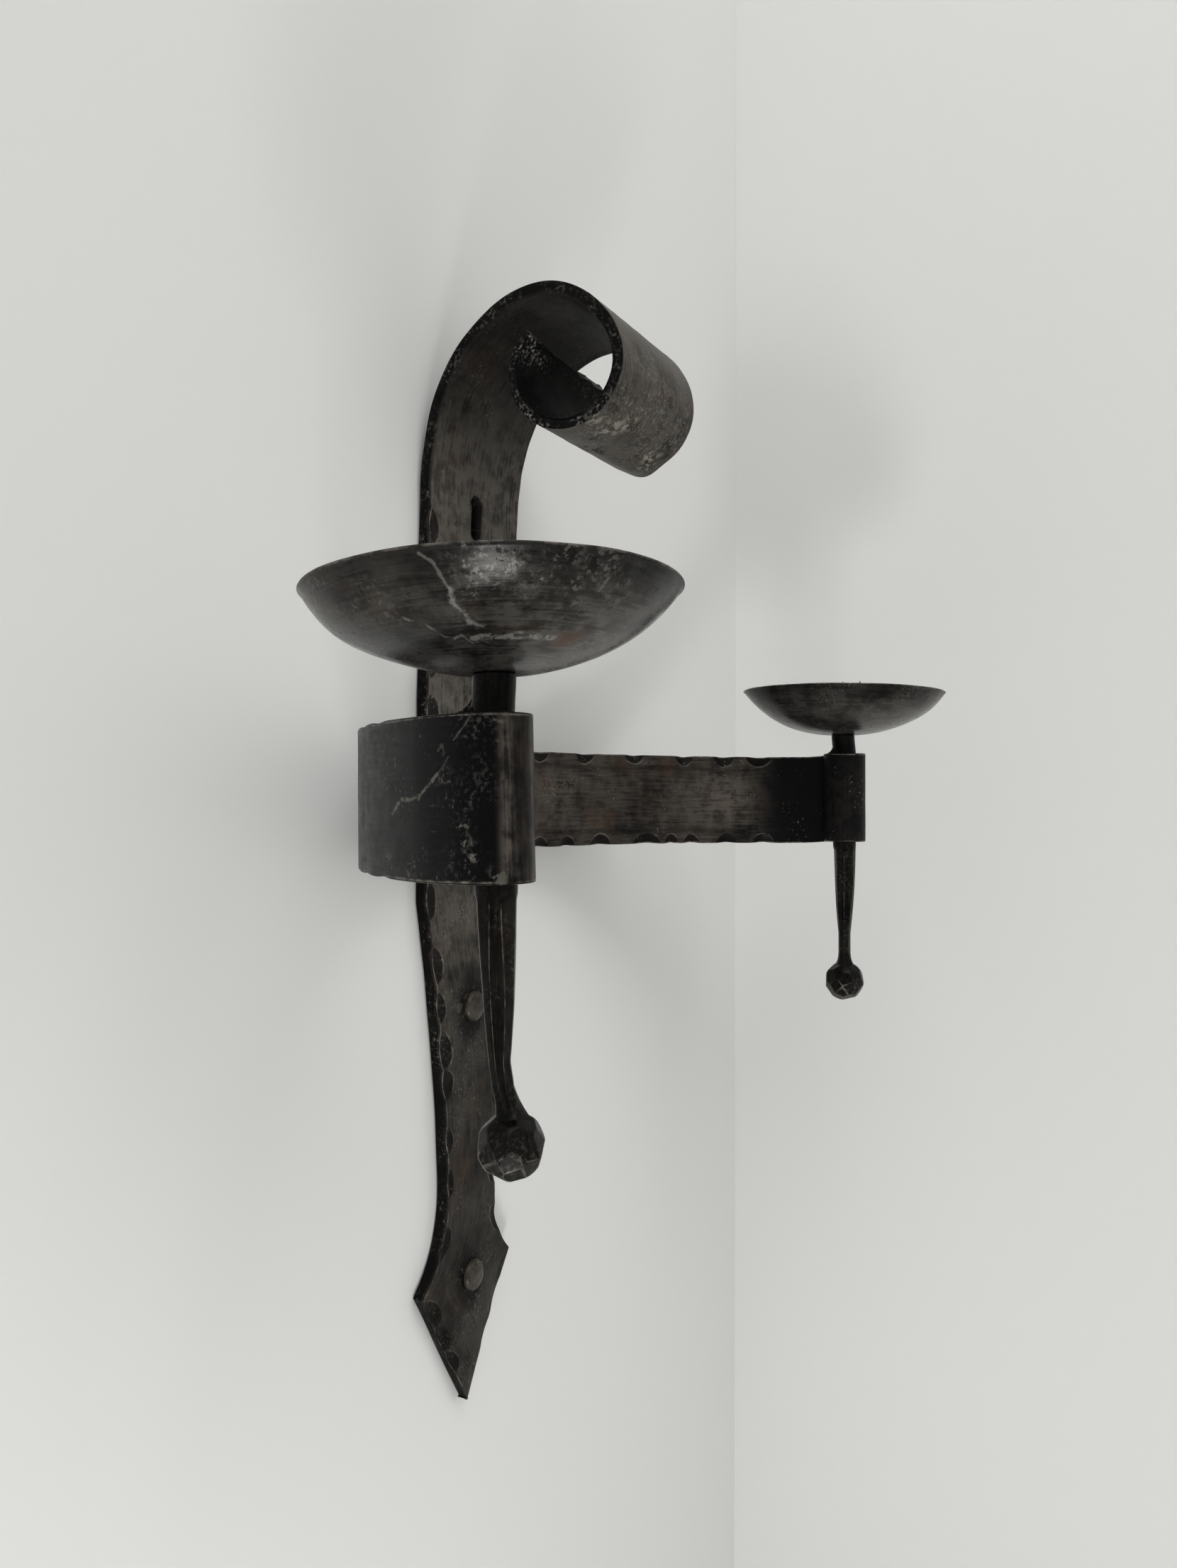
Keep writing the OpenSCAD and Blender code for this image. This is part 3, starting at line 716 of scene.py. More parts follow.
def build_arm(sizes):
    """The bowed arm with its notched edges and rolled eyes."""
    total = arm_course(np.zeros(1), sizes)[3]
    steps = int(total / 0.8)
    side_run = np.concatenate([-np.linspace(total, 0, steps), np.linspace(0, total, steps)[1:]])
    run = np.abs(side_run)
    sign = np.where(side_run < 0, -1.0, 1.0)
    x, n, heading, total = arm_course(run, sizes)
    thick = np.full_like(run, sizes.arm_thickness / MM)
    # The hammering spread the bar, least of all at the top of the left eye
    low = ARM_LOW + 0.1 + 0.08 * ripple(side_run, 0 * run, 11, 21)
    high = ARM_HIGH - 0.1 - 0.6 * smooth((-side_run - 150) / 50) + 0.08 * ripple(side_run, 0 * run, 11, 22)
    for place, half in TOP_NOTCHES:
        high = high - 0.45 * np.exp(-((run - place) / half * 1.5) ** 2)
    for place, half in LOW_NOTCHES:
        low = low + 0.45 * np.exp(-((run - place) / half * 1.5) ** 2)
    count, back_count, corner = 36, 24, 0.45
    q = spread(count, 1.6)
    across = low[:, None] + corner + (high - low - 2 * corner)[:, None] * q
    draw = np.random.default_rng(23)
    top, bottom = ([(0.0, side * place, draw.uniform(3.8, 4.6), half, draw.uniform(0.8, 1.2))
                    for side in (LEFT, RIGHT) for place, half in notches] for notches in (TOP_NOTCHES, LOW_NOTCHES))
    along = side_run[:, None] + 0 * across
    first = hammer(high[:, None] - across, along, top)
    second = hammer(across - low[:, None], along, bottom)
    rim = np.where(first[1] > second[1], first[2], second[2])
    depth, blow = np.maximum(first[0], second[0]), np.maximum(first[1], second[1])
    in_eye = smooth((run - (total - 56)) / 6)[:, None]
    depth = depth * (1 - in_eye) + 0.05 * (1 - in_eye) * (1 + ripple(across, along, 8, 24))
    back_q = np.linspace(1, 0, back_count)
    back_across = low[:, None] + (high - low)[:, None] * back_q
    back = 0.05 * (1 + ripple(back_across, side_run[:, None] + 0 * back_across, 9, 25))
    back = back * smooth((run - 16) / 8)[:, None]
    z, d, part = flat_section(low, high, thick, depth.T, back.T, corner, count, back_count, 2)
    sin, cos = np.sin(heading)[:, None], np.cos(heading)[:, None]
    rings = np.stack([sign[:, None] * (x[:, None] - d * sin), -(n[:, None] + d * cos), z], -1)
    # The left end was bent a little out of upright, and the right eye was rolled a little high
    weight = np.where(side_run < 0, smooth((run - 98) / 50), 0.0)[:, None]
    bend_x, bend_n, _, _ = arm_course(np.array([LEAN_PIVOT]), sizes)
    start = np.array([-bend_x[0], -bend_n[0], 0.0])
    rings = turned(rings, start, camera_axes()[2], -math.degrees(sizes.left_lean), weight)
    rings[..., 2] += sizes.eye_lift / MM * smooth((side_run - 184) / 22)[:, None]
    kinds = np.array(part)
    pad = np.zeros_like(z)
    front, rear = np.flatnonzero(kinds == "front"), np.flatnonzero(kinds == "back")
    edge = np.where(kinds == "edge", 1.0, 0.0)[None, :] + pad
    edge[:, front] = np.clip(1 - np.minimum(across - low[:, None], high[:, None] - across) / 4, 0, 1)
    edge[:, rear] = np.clip(1 - np.minimum(back_across - low[:, None], high[:, None] - back_across) / 4, 0, 1)
    edge = edge * np.clip(0.96 + 0.10 * ripple(side_run[:, None] + pad, z, 14, 26), 0, 1)
    marks = {"edge": edge, **front_marks(kinds, blow=blow * (1 - in_eye), rim=rim * (1 - in_eye))}
    # The inner face is painted darker towards the eyes, as shade beside the rolled eyes; the outer face has a smooth
    # skin, with painted shade and a painted highlight on the left eye and lighter streaks down the right one
    soot = pad + 0.95 * smooth((run - 150) / 26)[:, None]
    # Painted shade on the left eye's outer face, around its painted highlight, and darker again behind the eye
    shadow = 0.12 + 0.86 * smooth((run - 198) / 8) * smooth((214.6 - run) / 2.0)
    shadow = shadow + 0.30 * smooth((run - 217) / 2) * smooth((224 - run) / 1.5)
    soot[:, rear] = np.where(side_run < 0, shadow, 0.86 * smooth((run - 190) / 15))[:, None]
    behind = 0.75 * smooth((run - 226) / 4) * (side_run < 0)
    soot[:, rear] = np.maximum(soot[:, rear], behind[:, None])
    margin = np.minimum(across - low[:, None], high[:, None] - across)
    stripe = 0.55 * np.exp(-((margin - 6 - 0.8 * ripple(across, along, 26, 27)) / 1.1) ** 2)
    soot[:, front] = np.maximum(soot[:, front], stripe)
    soot[:, kinds == "side"] = 0.6
    marks["soot"] = soot
    skin = pad.copy()
    skin[:, rear] = (1 - 0.55 * smooth((run - 212.6) / 2))[:, None]
    marks["skin"] = skin
    polish = pad.copy()
    # Painted highlight along the middle of the inner face, strongest about 146 mm out and fainter about 45 mm out
    light = 0.95 * np.exp(-((run - 146) / 17) ** 2) + 0.35 * np.exp(-((run - 45) / 26) ** 2)
    polish[:, front] = light[:, None] * np.exp(-(across / 13) ** 2)
    # Painted highlight down the left eye and a painted glint along its edge, broken into streaks like rubbing; the
    # right eye gets only faint lighter streaks
    streak = (1.0 * np.exp(-((run - 216.0) / 1.5) ** 2) + 0.25 * smooth((run - 217) / 2) * smooth((224 - run) / 3)
              + 1.0 * np.exp(-((run - 224.4) / 1.2) ** 2))
    polish[:, rear] = np.where(side_run < 0, streak, 0.40 * smooth((run - 200) / 10))[:, None]
    marks["polish"] = polish
    crumb = pad.copy()
    crumb[:, rear] = np.where(side_run < 0, 0.10 * np.exp(-((run - 210) / 6) ** 2), 0.0)[:, None] + 0.02
    crumb[:, kinds == "side"] = 0.25
    marks["crumb"] = crumb
    # Brushing runs along the arm and up and down on the eyes
    closed = np.concatenate([z, z[:, :1]], 1)
    way = side_run[:, None] + 0 * closed
    upright = (np.abs(way) > EYE_START)[..., None]
    grain = np.where(upright, np.stack([way, closed], -1), np.stack([closed, way], -1))
    return loft("arm_forged", rings, grain, marks)


# ---------------------------------------------------------------- the torches

# Radii of the closed tenon's dome, of the tenon and of the hole that it passes, in millimetres
DOME_RADIUS, TENON_RADIUS, HOLE_RADIUS = 4.75, 3.0, 3.1


def torch_rings(side, sizes):
    """Rings of one torch from its closed tenon down to the ball."""
    columns = 144
    theta = np.linspace(0, FULL_TURN, columns, endpoint=False)
    rod = sizes.rod_diameter / MM / 2
    short = sizes.left_stem_short / MM if side == LEFT else 0.0
    drift = sizes.left_ball_drift / MM if side == LEFT else 0.0
    draw = np.random.default_rng(31 if side == LEFT else 32)
    rows = []  # height, radius, how eight-sided, shift to the front

    def row(z, radius, facets=0.0, shift=0.0):
        rows.append((z, radius, facets, shift))

    for angle in np.linspace(0.02, 1, 8) * math.pi / 2:  # the closed tenon's dome
        row(PEEN_TOP - (PEEN_TOP - CLAW_TOP) * (1 - math.cos(angle)), DOME_RADIUS * math.sin(angle) + 0.02)
    row(CLAW_TOP, TENON_RADIUS)
    row(PAN_BASE, TENON_RADIUS)
    row(PAN_BASE, rod - 0.5)
    row(PAN_BASE - 0.4, rod)
    for z in np.arange(PAN_BASE - 1.2, ARM_LOW - 0.5, -1.0):
        row(z, rod)
    stem, neck = sizes.stem_diameter / MM / 2, sizes.stem_neck_diameter / MM / 2
    low = ARM_LOW - 1.5
    neck_z = -sizes.stem_neck_depth / MM
    flare = short - sizes.flare_depth / MM
    for z in np.arange(low, flare, -0.8):
        t = min(1.0, (low - z) / (low - neck_z))
        radius = stem + (neck - stem) * t * t
        shift = drift * 0.25 * smooth((neck_z - z) / (neck_z - flare))
        row(z, radius, smooth((low + 0.5 - z) / 2.5), float(shift))
    rows = np.array(rows)
    z, radius, facets, shift = rows.T
    # Eight slightly uneven sides, softened along their ridges
    sides = 8
    normals = FULL_TURN * (np.arange(sides) + 0.5) / sides + draw.uniform(-0.10, 0.10, sides) + 0.2
    sway = 0.10 * np.sin(z[:, None] / 9 + draw.uniform(0, 6, sides))
    reach = math.cos(math.pi / sides) * (1 + draw.uniform(-0.06, 0.04, sides) + sway * 0.35)
    turned = theta[None, :, None] - (normals[None, None, :] + 0.05 * sway[:, None, :])
    cosine = np.cos(turned)
    distance = np.where(cosine > 0.2, reach[:, None, :] / np.clip(cosine, 0.2, None), 9.0)
    ordered = np.sort(distance, -1)
    ridge = np.clip(1 - (ordered[..., 1] - ordered[..., 0]) / 0.20, 0, 1)
    polygon = ordered[..., 0] - 0.010 * ridge ** 4
    shape = (1 - facets[:, None]) + polygon * facets[:, None]
    wobble = 1 + 0.006 * facets[:, None] * ripple(theta[None, :] * 5, z[:, None], 5, 33)
    r = radius[:, None] * shape * wobble
    stem_rings = around(r, theta, z[:, None]) - shift[:, None, None] * [0, 1, 0]
    stem_ridge = ridge * facets[:, None]
    # The ball is hammered all round: the nearest of many flats in each direction
    ball = sizes.ball_diameter / MM / 2 * (0.965 if side == LEFT else 1.045)
    centre_z = short - sizes.ball_depth / MM
    flat_count = 34
    rank = np.arange(flat_count) + 0.5
    level, round_ = 1 - 2 * rank / flat_count, rank * math.pi * (3 - math.sqrt(5))
    flats = np.stack([np.sqrt(1 - level ** 2) * np.cos(round_), np.sqrt(1 - level ** 2) * np.sin(round_), level], -1)
    flats += draw.normal(0, 0.11, flats.shape)
    flats /= np.linalg.norm(flats, axis=1)[:, None]
    reach = ball * draw.uniform(0.915, 0.955, flat_count)
    start = math.asin(min(0.95, (radius[-1] + 1.2) / ball))
    phi = np.linspace(start, math.pi - 0.02, 96)
    direction = np.stack([np.sin(phi)[:, None] * np.cos(theta), np.sin(phi)[:, None] * np.sin(theta),
                          np.cos(phi)[:, None] + 0 * theta], -1)
    cosine = direction @ flats.T
    distance = np.sort(np.where(cosine > 0.25, reach / np.clip(cosine, 0.25, None), 99.0), -1)
    ball_ridge = np.clip(1 - (distance[..., 1] - distance[..., 0]) / 1.5, 0, 1)
    r_ball = np.minimum(distance[..., 0], ball) - 0.05 * ball_ridge ** 6
    faint = 0.02 + 0.13 * smooth(direction[..., 2] * 1.5 + 0.3)
    faint = faint + 0.04 * ripple(direction[..., 0] * 8, direction[..., 1] * 8, 5, 34)
    ball_ridge = ball_ridge * np.clip(1 - faint, 0, 1)
    ball_rings = direction * r_ball[..., None] + np.array([0, -drift, centre_z])
    # A filleted flare joins the stem to the ball
    top, bottom = stem_rings[-1], ball_rings[0]
    joint = []
    for t in (0.25, 0.5, 0.75):
        ring = top + (bottom - top) * t
        middle = ring.mean(0)
        joint.append(middle + (ring - middle) * (1 - 0.10 * math.sin(math.pi * t)) * [1, 1, 1])
    rings = np.concatenate([stem_rings, np.array(joint), ball_rings])
    zero = np.zeros((3, columns))
    edge = np.concatenate([stem_ridge, zero + stem_ridge[-1] * 0.9, ball_ridge])
    return settle(side, rings + torch_axis(side), sizes), edge, theta


def build_torches(sizes):
    pieces = []
    for side, word in SIDES:
        rings, edge, theta = torch_rings(side, sizes)
        along = np.concatenate([[0], np.cumsum(np.linalg.norm(np.diff(rings.mean(1), axis=0), axis=1))])
        grain = grain_map(np.append(theta, FULL_TURN) * 5, along[:, None], *rings.shape[:2])
        level = rings[..., 2]
        right = camera_axes()[0]
        # Painted highlight: each stem is lighter on the side towards the camera's right and a little on the opposite
        # side
        facing = np.cos(theta) * right[0] + np.sin(theta) * right[1]
        rubbing_and_sheen = 0.9 * smooth((facing - 0.15) / 0.5) + 0.3 * smooth((-facing - 0.3) / 0.5)
        marks = {"edge": edge, "crumb": 0.04 + 0.12 * smooth((ARM_LOW - level) / 10),
                 "polish": rubbing_and_sheen * smooth((ARM_LOW - 2 - level) / 2) * smooth((level + 78) / 6)}
        pieces.append(loft(f"{word}_torch_forged", rings, grain, marks, sharp=50))
    return pieces


# ---------------------------------------------------------------- pans, claws and welds

# Grain map of a pan, in millimetres for each radian, and how high the left weld bead stands for its eye's lean
PAN_MAP, LEFT_BEAD_RISE = 40, 0.9
OUTSIDE_COLUMNS = 60  # of a pan's profile


def build_pan(side, sizes):
    """A dished sheet pan with a slightly wavering rim."""
    rim = sizes.pan_diameter / MM / 2
    depth = sizes.pan_depth / MM
    outer = (rim * rim + depth * depth) / (2 * depth)
    centre = PAN_RIM - depth + outer
    sheet = sizes.pan_thickness / MM
    inner = outer - sheet
    inner_rim = math.sqrt(inner ** 2 - (PAN_RIM - centre) ** 2)
    floor_edge = 12.5
    profile = [(HOLE_RADIUS, PAN_BASE)] + [(r, PAN_BASE) for r in (4.5, 6.0, 7.4)]
    for r in np.linspace(8.2, rim - 0.35, 54):
        profile.append((r, centre - math.sqrt(outer ** 2 - r * r)))
    profile += [(rim - 0.1, PAN_RIM - 0.42), (rim - 0.25, PAN_RIM - 0.12), (rim - 0.6, PAN_RIM),
                ((rim + inner_rim) / 2, PAN_RIM), (inner_rim + 0.25, PAN_RIM - 0.05)]
    for r in np.linspace(inner_rim - 0.1, floor_edge + 0.4, 40):
        profile.append((r, centre - math.sqrt(inner ** 2 - r * r)))
    profile += [(floor_edge - 0.3, PAN_FLOOR), (9, PAN_FLOOR), (6, PAN_FLOOR), (HOLE_RADIUS, PAN_FLOOR)]
    profile = np.array(profile)
    count = 240
    theta = np.linspace(0, FULL_TURN, count, endpoint=False)
    seed = 41 if side == LEFT else 42
    out_share = smooth((profile[:, 0] - 14) / 30)
    # Each rim stands a little higher on one side: its directions are counted from the camera's right
    right, _, forward = camera_axes()
    outward = around(np.ones(count), theta, 0.0)
    way_round = np.arctan2(-outward @ np.array(forward), outward @ np.array(right))
    lift = (0.8 * np.cos(way_round - math.radians(55)) + 0.25 * np.cos(2 * way_round - math.radians(120))
            if side == LEFT else -0.9 * np.cos(way_round))
    waver = ripple(np.cos(theta) * 40, np.sin(theta) * 40, 30, seed + 2)[:, None]
    r = profile[None, :, 0] * (1 + 0.004 * out_share * waver)
    dent = 0.06 * out_share * ripple(r * np.cos(theta)[:, None], r * np.sin(theta)[:, None], 9, seed + 4)
    # Hand dishing left deeper shoulders than a ball's surface has
    reach = np.clip((profile[:, 0] - 8) / (rim - 8), 0, 1)
    middle, shoulder, swing = (0.3, 1.55, -0.65) if side == LEFT else (0.8, 0.9, 0.3)
    shoulder = shoulder + swing * np.cos(way_round)
    belly = middle * np.sin(math.pi * reach) + shoulder[:, None] * np.sin(math.pi * reach ** 3)
    z = profile[None, :, 1] + lift[:, None] * out_share ** 3 + dent - belly
    rings = around(r, theta[:, None], z)
    rings = settle(side, rings + torch_axis(side), sizes)
    # Brushing runs round the pan, and the left pan's scratches lie outside the right one's map
    grain = turned_grain(profile, theta, PAN_MAP, 0 if side == LEFT else 10 * PAN_MAP)
    # The outside carries painted shade under its rim, is darker round the rod, and between them a painted sheen
    # lightens one side of the pan
    below, outside = PAN_RIM - z, np.arange(len(profile)) < OUTSIDE_COLUMNS
    near_rim = np.clip(1 - np.abs(profile[:, 1] - PAN_RIM + 0.2) / 4, 0, 1)
    soot = np.where(outside, 0.55 * np.exp(-(below / 4.5) ** 2), 0.45)
    soot = np.maximum(soot, 0.85 * np.exp(-((r - 4) / 6.5) ** 2) * outside)
    rubbing_and_sheen = 0.05 + 0.75 * smooth((theta * PAN_MAP - 120) / 65)[:, None]
    marks = {"edge": np.broadcast_to(near_rim * 0.93, z.shape), "soot": soot,
             "crumb": 0.05 + 0.12 * np.exp(-((below - 4) / 5) ** 2),
             "polish": outside * smooth((below - 4) / 9) * rubbing_and_sheen}
    return loft(f"{WORDS[side]}_pan_forged", rings, grain, marks, wrap=True, sharp=45)


def build_claw(side, sizes):
    """The thorns' plate, with a softened edge."""
    edge = sizes.claw_diameter / MM / 2
    profile = np.array([(HOLE_RADIUS, PAN_FLOOR), (7, PAN_FLOOR), (edge - 0.3, PAN_FLOOR), (edge, PAN_FLOOR + 0.3),
                        (edge, CLAW_TOP - 0.5), (edge - 0.2, CLAW_TOP - 0.14), (edge - 0.55, CLAW_TOP),
                        (10, CLAW_TOP), (7, CLAW_TOP), (HOLE_RADIUS, CLAW_TOP)])
    theta = np.linspace(0, FULL_TURN, 96, endpoint=False)
    share = smooth((profile[:, 0] - 8) / 4)
    r = profile[None, :, 0] * (1 + 0.012 * share * ripple(np.cos(theta) * 12, np.sin(theta) * 12, 9, 51)[:, None])
    r = np.minimum(r, edge)
    rings = around(r, theta[:, None], profile[:, 1])
    rings = settle(side, rings + torch_axis(side), sizes)
    near_edge = np.clip(1 - np.abs(profile[:, 0] - edge) / 4, 0, 1)
    marks = {"edge": np.broadcast_to(near_edge, r.shape), "crumb": 0 * r + 0.1}
    grain = turned_grain(profile, theta, 10)
    return loft(f"{WORDS[side]}_claw_plate_forged", rings, grain, marks, wrap=True, sharp=45)


def build_weld(side, sizes):
    """A lumpy concave bead in the corner between rod and eye."""
    turn = math.radians(110)
    rod = sizes.rod_diameter / MM / 2
    steps, columns = 70, 20
    t = np.linspace(0, 1, steps)
    angle = math.pi / 2 + (t - 0.5) * turn
    swell = (1 + 0.10 * np.sin(t * 46) + 0.06 * np.sin(t * 21 + 1)) * np.minimum(1, np.minimum(t, 1 - t) * 9) ** 0.5
    leg = 3.5 * swell + 0.05
    u = np.linspace(0, 1, columns - 6)
    hollow = np.stack([(1 - u) ** 1.6, u ** 1.6], -1)
    closed = np.concatenate([hollow, np.stack([np.zeros(3), np.array([0.75, 0.5, 0.25])], -1),
                             np.stack([np.array([0.0, 0.33, 0.66]), np.zeros(3)], -1)])
    r = rod - 0.05 + closed[None, :, 0] * leg[:, None]
    z = ARM_HIGH - 0.15 + closed[None, :, 1] * leg[:, None]
    rings = around(r, angle[:, None], z)
    rings = settle(side, rings + torch_axis(side), sizes)
    # The bead follows its eye: the left one leans, the right one was rolled high
    rings[..., 2] += LEFT_BEAD_RISE if side == LEFT else sizes.eye_lift / MM
    grain = grain_map(np.arange(columns + 1) * 0.4, (t * 12)[:, None], steps, columns)
    flat = np.zeros((steps, columns))
    return loft(f"{WORDS[side]}_weld_forged", rings, grain, {"soot": flat + 0.2, "crumb": flat + 0.3})


# ---------------------------------------------------------------- repeated pieces by Geometry Nodes


def grow(name, feet, tree_maker, inputs, stands=None):
    """Plain mesh object of what a Geometry Nodes tree makes on the points `feet`, in metres."""
    mesh = bpy.data.meshes.new(name)
    mesh.from_pydata(feet, [], [])
    for key, values in (stands or {}).items():
        attribute = mesh.attributes.new(key, "FLOAT", "POINT")
        attribute.data.foreach_set("value", values)
    seedling = bpy.data.objects.new(name + "_points", mesh)
    bpy.context.scene.collection.objects.link(seedling)
    group = bpy.data.node_groups.get(tree_maker.__name__) or tree_maker()
    modifier = seedling.modifiers.new("grow", "NODES")
    modifier.node_group = group
    for item in group.interface.items_tree:
        if item.item_type == "SOCKET" and item.in_out == "INPUT" and item.name in inputs:
            modifier[item.identifier] = inputs[item.name]
    seedling.update_tag()
    graph = bpy.context.evaluated_depsgraph_get()
    made = bpy.data.meshes.new_from_object(seedling.evaluated_get(graph))
    seedling.modifiers.clear()
    bpy.data.objects.remove(seedling)
    made.name = name
    piece = bpy.data.objects.new(name, made)
    bpy.context.scene.collection.objects.link(piece)
    return piece


def new_tree(name, sockets):
    """Geometry Nodes tree with named inputs; returns it, its input node and its geometry output."""
    tree = bpy.data.node_groups.new(name, "GeometryNodeTree")
    tree.interface.new_socket("Geometry", in_out="INPUT", socket_type="NodeSocketGeometry")
    for label, kind in sockets:
        tree.interface.new_socket(label, in_out="INPUT", socket_type=kind)
    tree.interface.new_socket("Geometry", in_out="OUTPUT", socket_type="NodeSocketGeometry")
    start = tree.nodes.new("NodeGroupInput")
    given = {socket.name: Wire(tree, socket) for socket in start.outputs if socket.name}
    return tree, given, tree.nodes.new("NodeGroupOutput")


def random_turn(w, given):
    """A random angle for each point, in radians."""
    return w.node("FunctionNodeRandomValue", {"data_type": "FLOAT"},
                  {2: 0.0, 3: 6.283, "Seed": given["Seed"]}, output=1)


def plant(w, given, end, body, about, scale=(1, 1, 1)):
    """Set the body on every point, make one plain mesh of them and give it its material."""
    points = w.node("GeometryNodeMeshToPoints", None, {"Mesh": given["Geometry"]})
    placed = w.node("GeometryNodeInstanceOnPoints", None,
                    {"Points": points, "Instance": body, "Rotation": about, "Scale": scale})
    real = w.node("GeometryNodeRealizeInstances", None, {"Geometry": placed})
    dressed = w.node("GeometryNodeSetMaterial", None, {"Geometry": real, "Material": given["Material"]})
    w.tree.links.new(dressed.socket, end.inputs[0])
    return w.tree


def rivet_tree():
    """Flat-topped hammered head on a round shank, one on each point, headed along +Z of the point."""
    tree, given, end = new_tree("rivet_tree", [
        ("Head Radius", "NodeSocketFloat"), ("Head Height", "NodeSocketFloat"), ("Shank Radius", "NodeSocketFloat"),
        ("Stack", "NodeSocketFloat"), ("Tail Radius", "NodeSocketFloat"), ("Seed", "NodeSocketInt"),
        ("Material", "NodeSocketMaterial")])
    w = Wire(tree)
    head = w.node("GeometryNodeMeshCylinder", {"fill_type": "TRIANGLE_FAN"},
                  {"Vertices": 40, "Side Segments": 10, "Fill Segments": 8, "Radius": 1.0, "Depth": 1.0})
    where = w.node("GeometryNodeInputPosition")
    split = w.node("ShaderNodeSeparateXYZ", None, {0: where})
    x, y, z = (split.part(k) for k in range(3))
    level = z + 0.5
    radial = (x * x + y * y).math("SQRT", x * x + y * y)
    # Shoulder: the head narrows towards its flattened top
    narrow = 1.0 - level.math("POWER", level, 3.0) * 0.34
    sink = radial.math("POWER", radial, 3.0) * level * 0.22
    lumps = w.node("ShaderNodeTexNoise", {"noise_dimensions": "4D"},
                   {"Vector": where, "W": given["Seed"], "Scale": 1.3, "Detail": 1.0}) - 0.5
    wide = given["Head Radius"] * narrow * (1.0 + lumps * 0.16)
    tall = given["Head Height"] * (level * (1.0 + lumps * 0.24) - sink)
    moved = w.node("ShaderNodeCombineXYZ", None, {0: x * wide, 1: y * wide, 2: tall})
    head = w.node("GeometryNodeSetPosition", None, {"Geometry": head, "Position": moved})
    shank = w.node("GeometryNodeMeshCylinder", None,
                   {"Vertices": 32, "Radius": given["Shank Radius"], "Depth": given["Stack"]})
    down = w.node("ShaderNodeCombineXYZ", None, {2: given["Stack"] * -0.5 + 0.0001})
    shank = w.node("GeometryNodeTransform", None, {"Geometry": shank, "Translation": down})
    joined = tree.nodes.new("GeometryNodeJoinGeometry")
    for part in (shank, head):
        tree.links.new(part.socket, joined.inputs[0])
    body = w.node("GeometryNodeSetShadeSmooth", None, {"Geometry": Wire(tree, joined.outputs[0])})
    about = w.node("ShaderNodeCombineXYZ", None, {0: math.pi / 2, 1: random_turn(w, given)})
    return plant(w, given, end, body, about)


def thorn_tree():
    """Round thorn that tapers to its point and bends a little, one on each point."""
    tree, given, end = new_tree("thorn_tree", [
        ("Height", "NodeSocketFloat"), ("Root", "NodeSocketFloat"), ("Radius", "NodeSocketFloat"),
        ("Point", "NodeSocketFloat"), ("Bend", "NodeSocketFloat"), ("Seed", "NodeSocketInt"),
        ("Material", "NodeSocketMaterial")])
    w = Wire(tree)
    foot = w.node("ShaderNodeCombineXYZ", None, {2: given["Root"] * -1.0})
    tip = w.node("ShaderNodeCombineXYZ", None, {2: given["Height"]})
    line = w.node("GeometryNodeCurvePrimitiveLine", None, {"Start": foot, "End": tip})
    line = w.node("GeometryNodeResampleCurve", None, {"Curve": line, "Count": 40})
    share = w.node("GeometryNodeSplineParameter")
    bow = share.math("POWER", share, 2.2) * given["Bend"]
    line = w.node("GeometryNodeSetPosition", None,
                  {"Geometry": line, "Offset": w.node("ShaderNodeCombineXYZ", None, {0: bow, 1: bow * 0.4})})
    left = (1.0 - share) * (given["Height"] + given["Root"])
    girth = given["Radius"] * left.math("MINIMUM", left.math("DIVIDE", left, given["Point"]), 1.0) + 0.00004
    ring = w.node("GeometryNodeCurvePrimitiveCircle", {"mode": "RADIUS"}, {"Resolution": 20, "Radius": 1.0})
    thorn = w.node("GeometryNodeCurveToMesh", None,
                   {"Curve": line, "Profile Curve": ring, "Scale": girth, "Fill Caps": True})
    thorn = w.node("GeometryNodeSetShadeSmooth", None, {"Geometry": thorn})
    about = w.node("ShaderNodeCombineXYZ", None, {2: random_turn(w, given)})
    size = w.node("GeometryNodeInputNamedAttribute", {"data_type": "FLOAT"}, {"Name": "size"})
    tall = w.node("ShaderNodeCombineXYZ", None, {0: 1.0, 1: 1.0, 2: size})
    return plant(w, given, end, thorn, about, tall)


# ---------------------------------------------------------------- properties


def length(name, description, default):
    return bpy.props.FloatProperty(name=name, description=description, default=default, unit="LENGTH", precision=5)


def colour(name, description, default):
    return bpy.props.FloatVectorProperty(name=name, description=description, default=default, subtype="COLOR",
                                         size=3, min=0, max=1)


def turn(name, description, degrees):
    return bpy.props.FloatProperty(name=name, description=description, default=math.radians(degrees),
                                   subtype="ANGLE", unit="ROTATION")


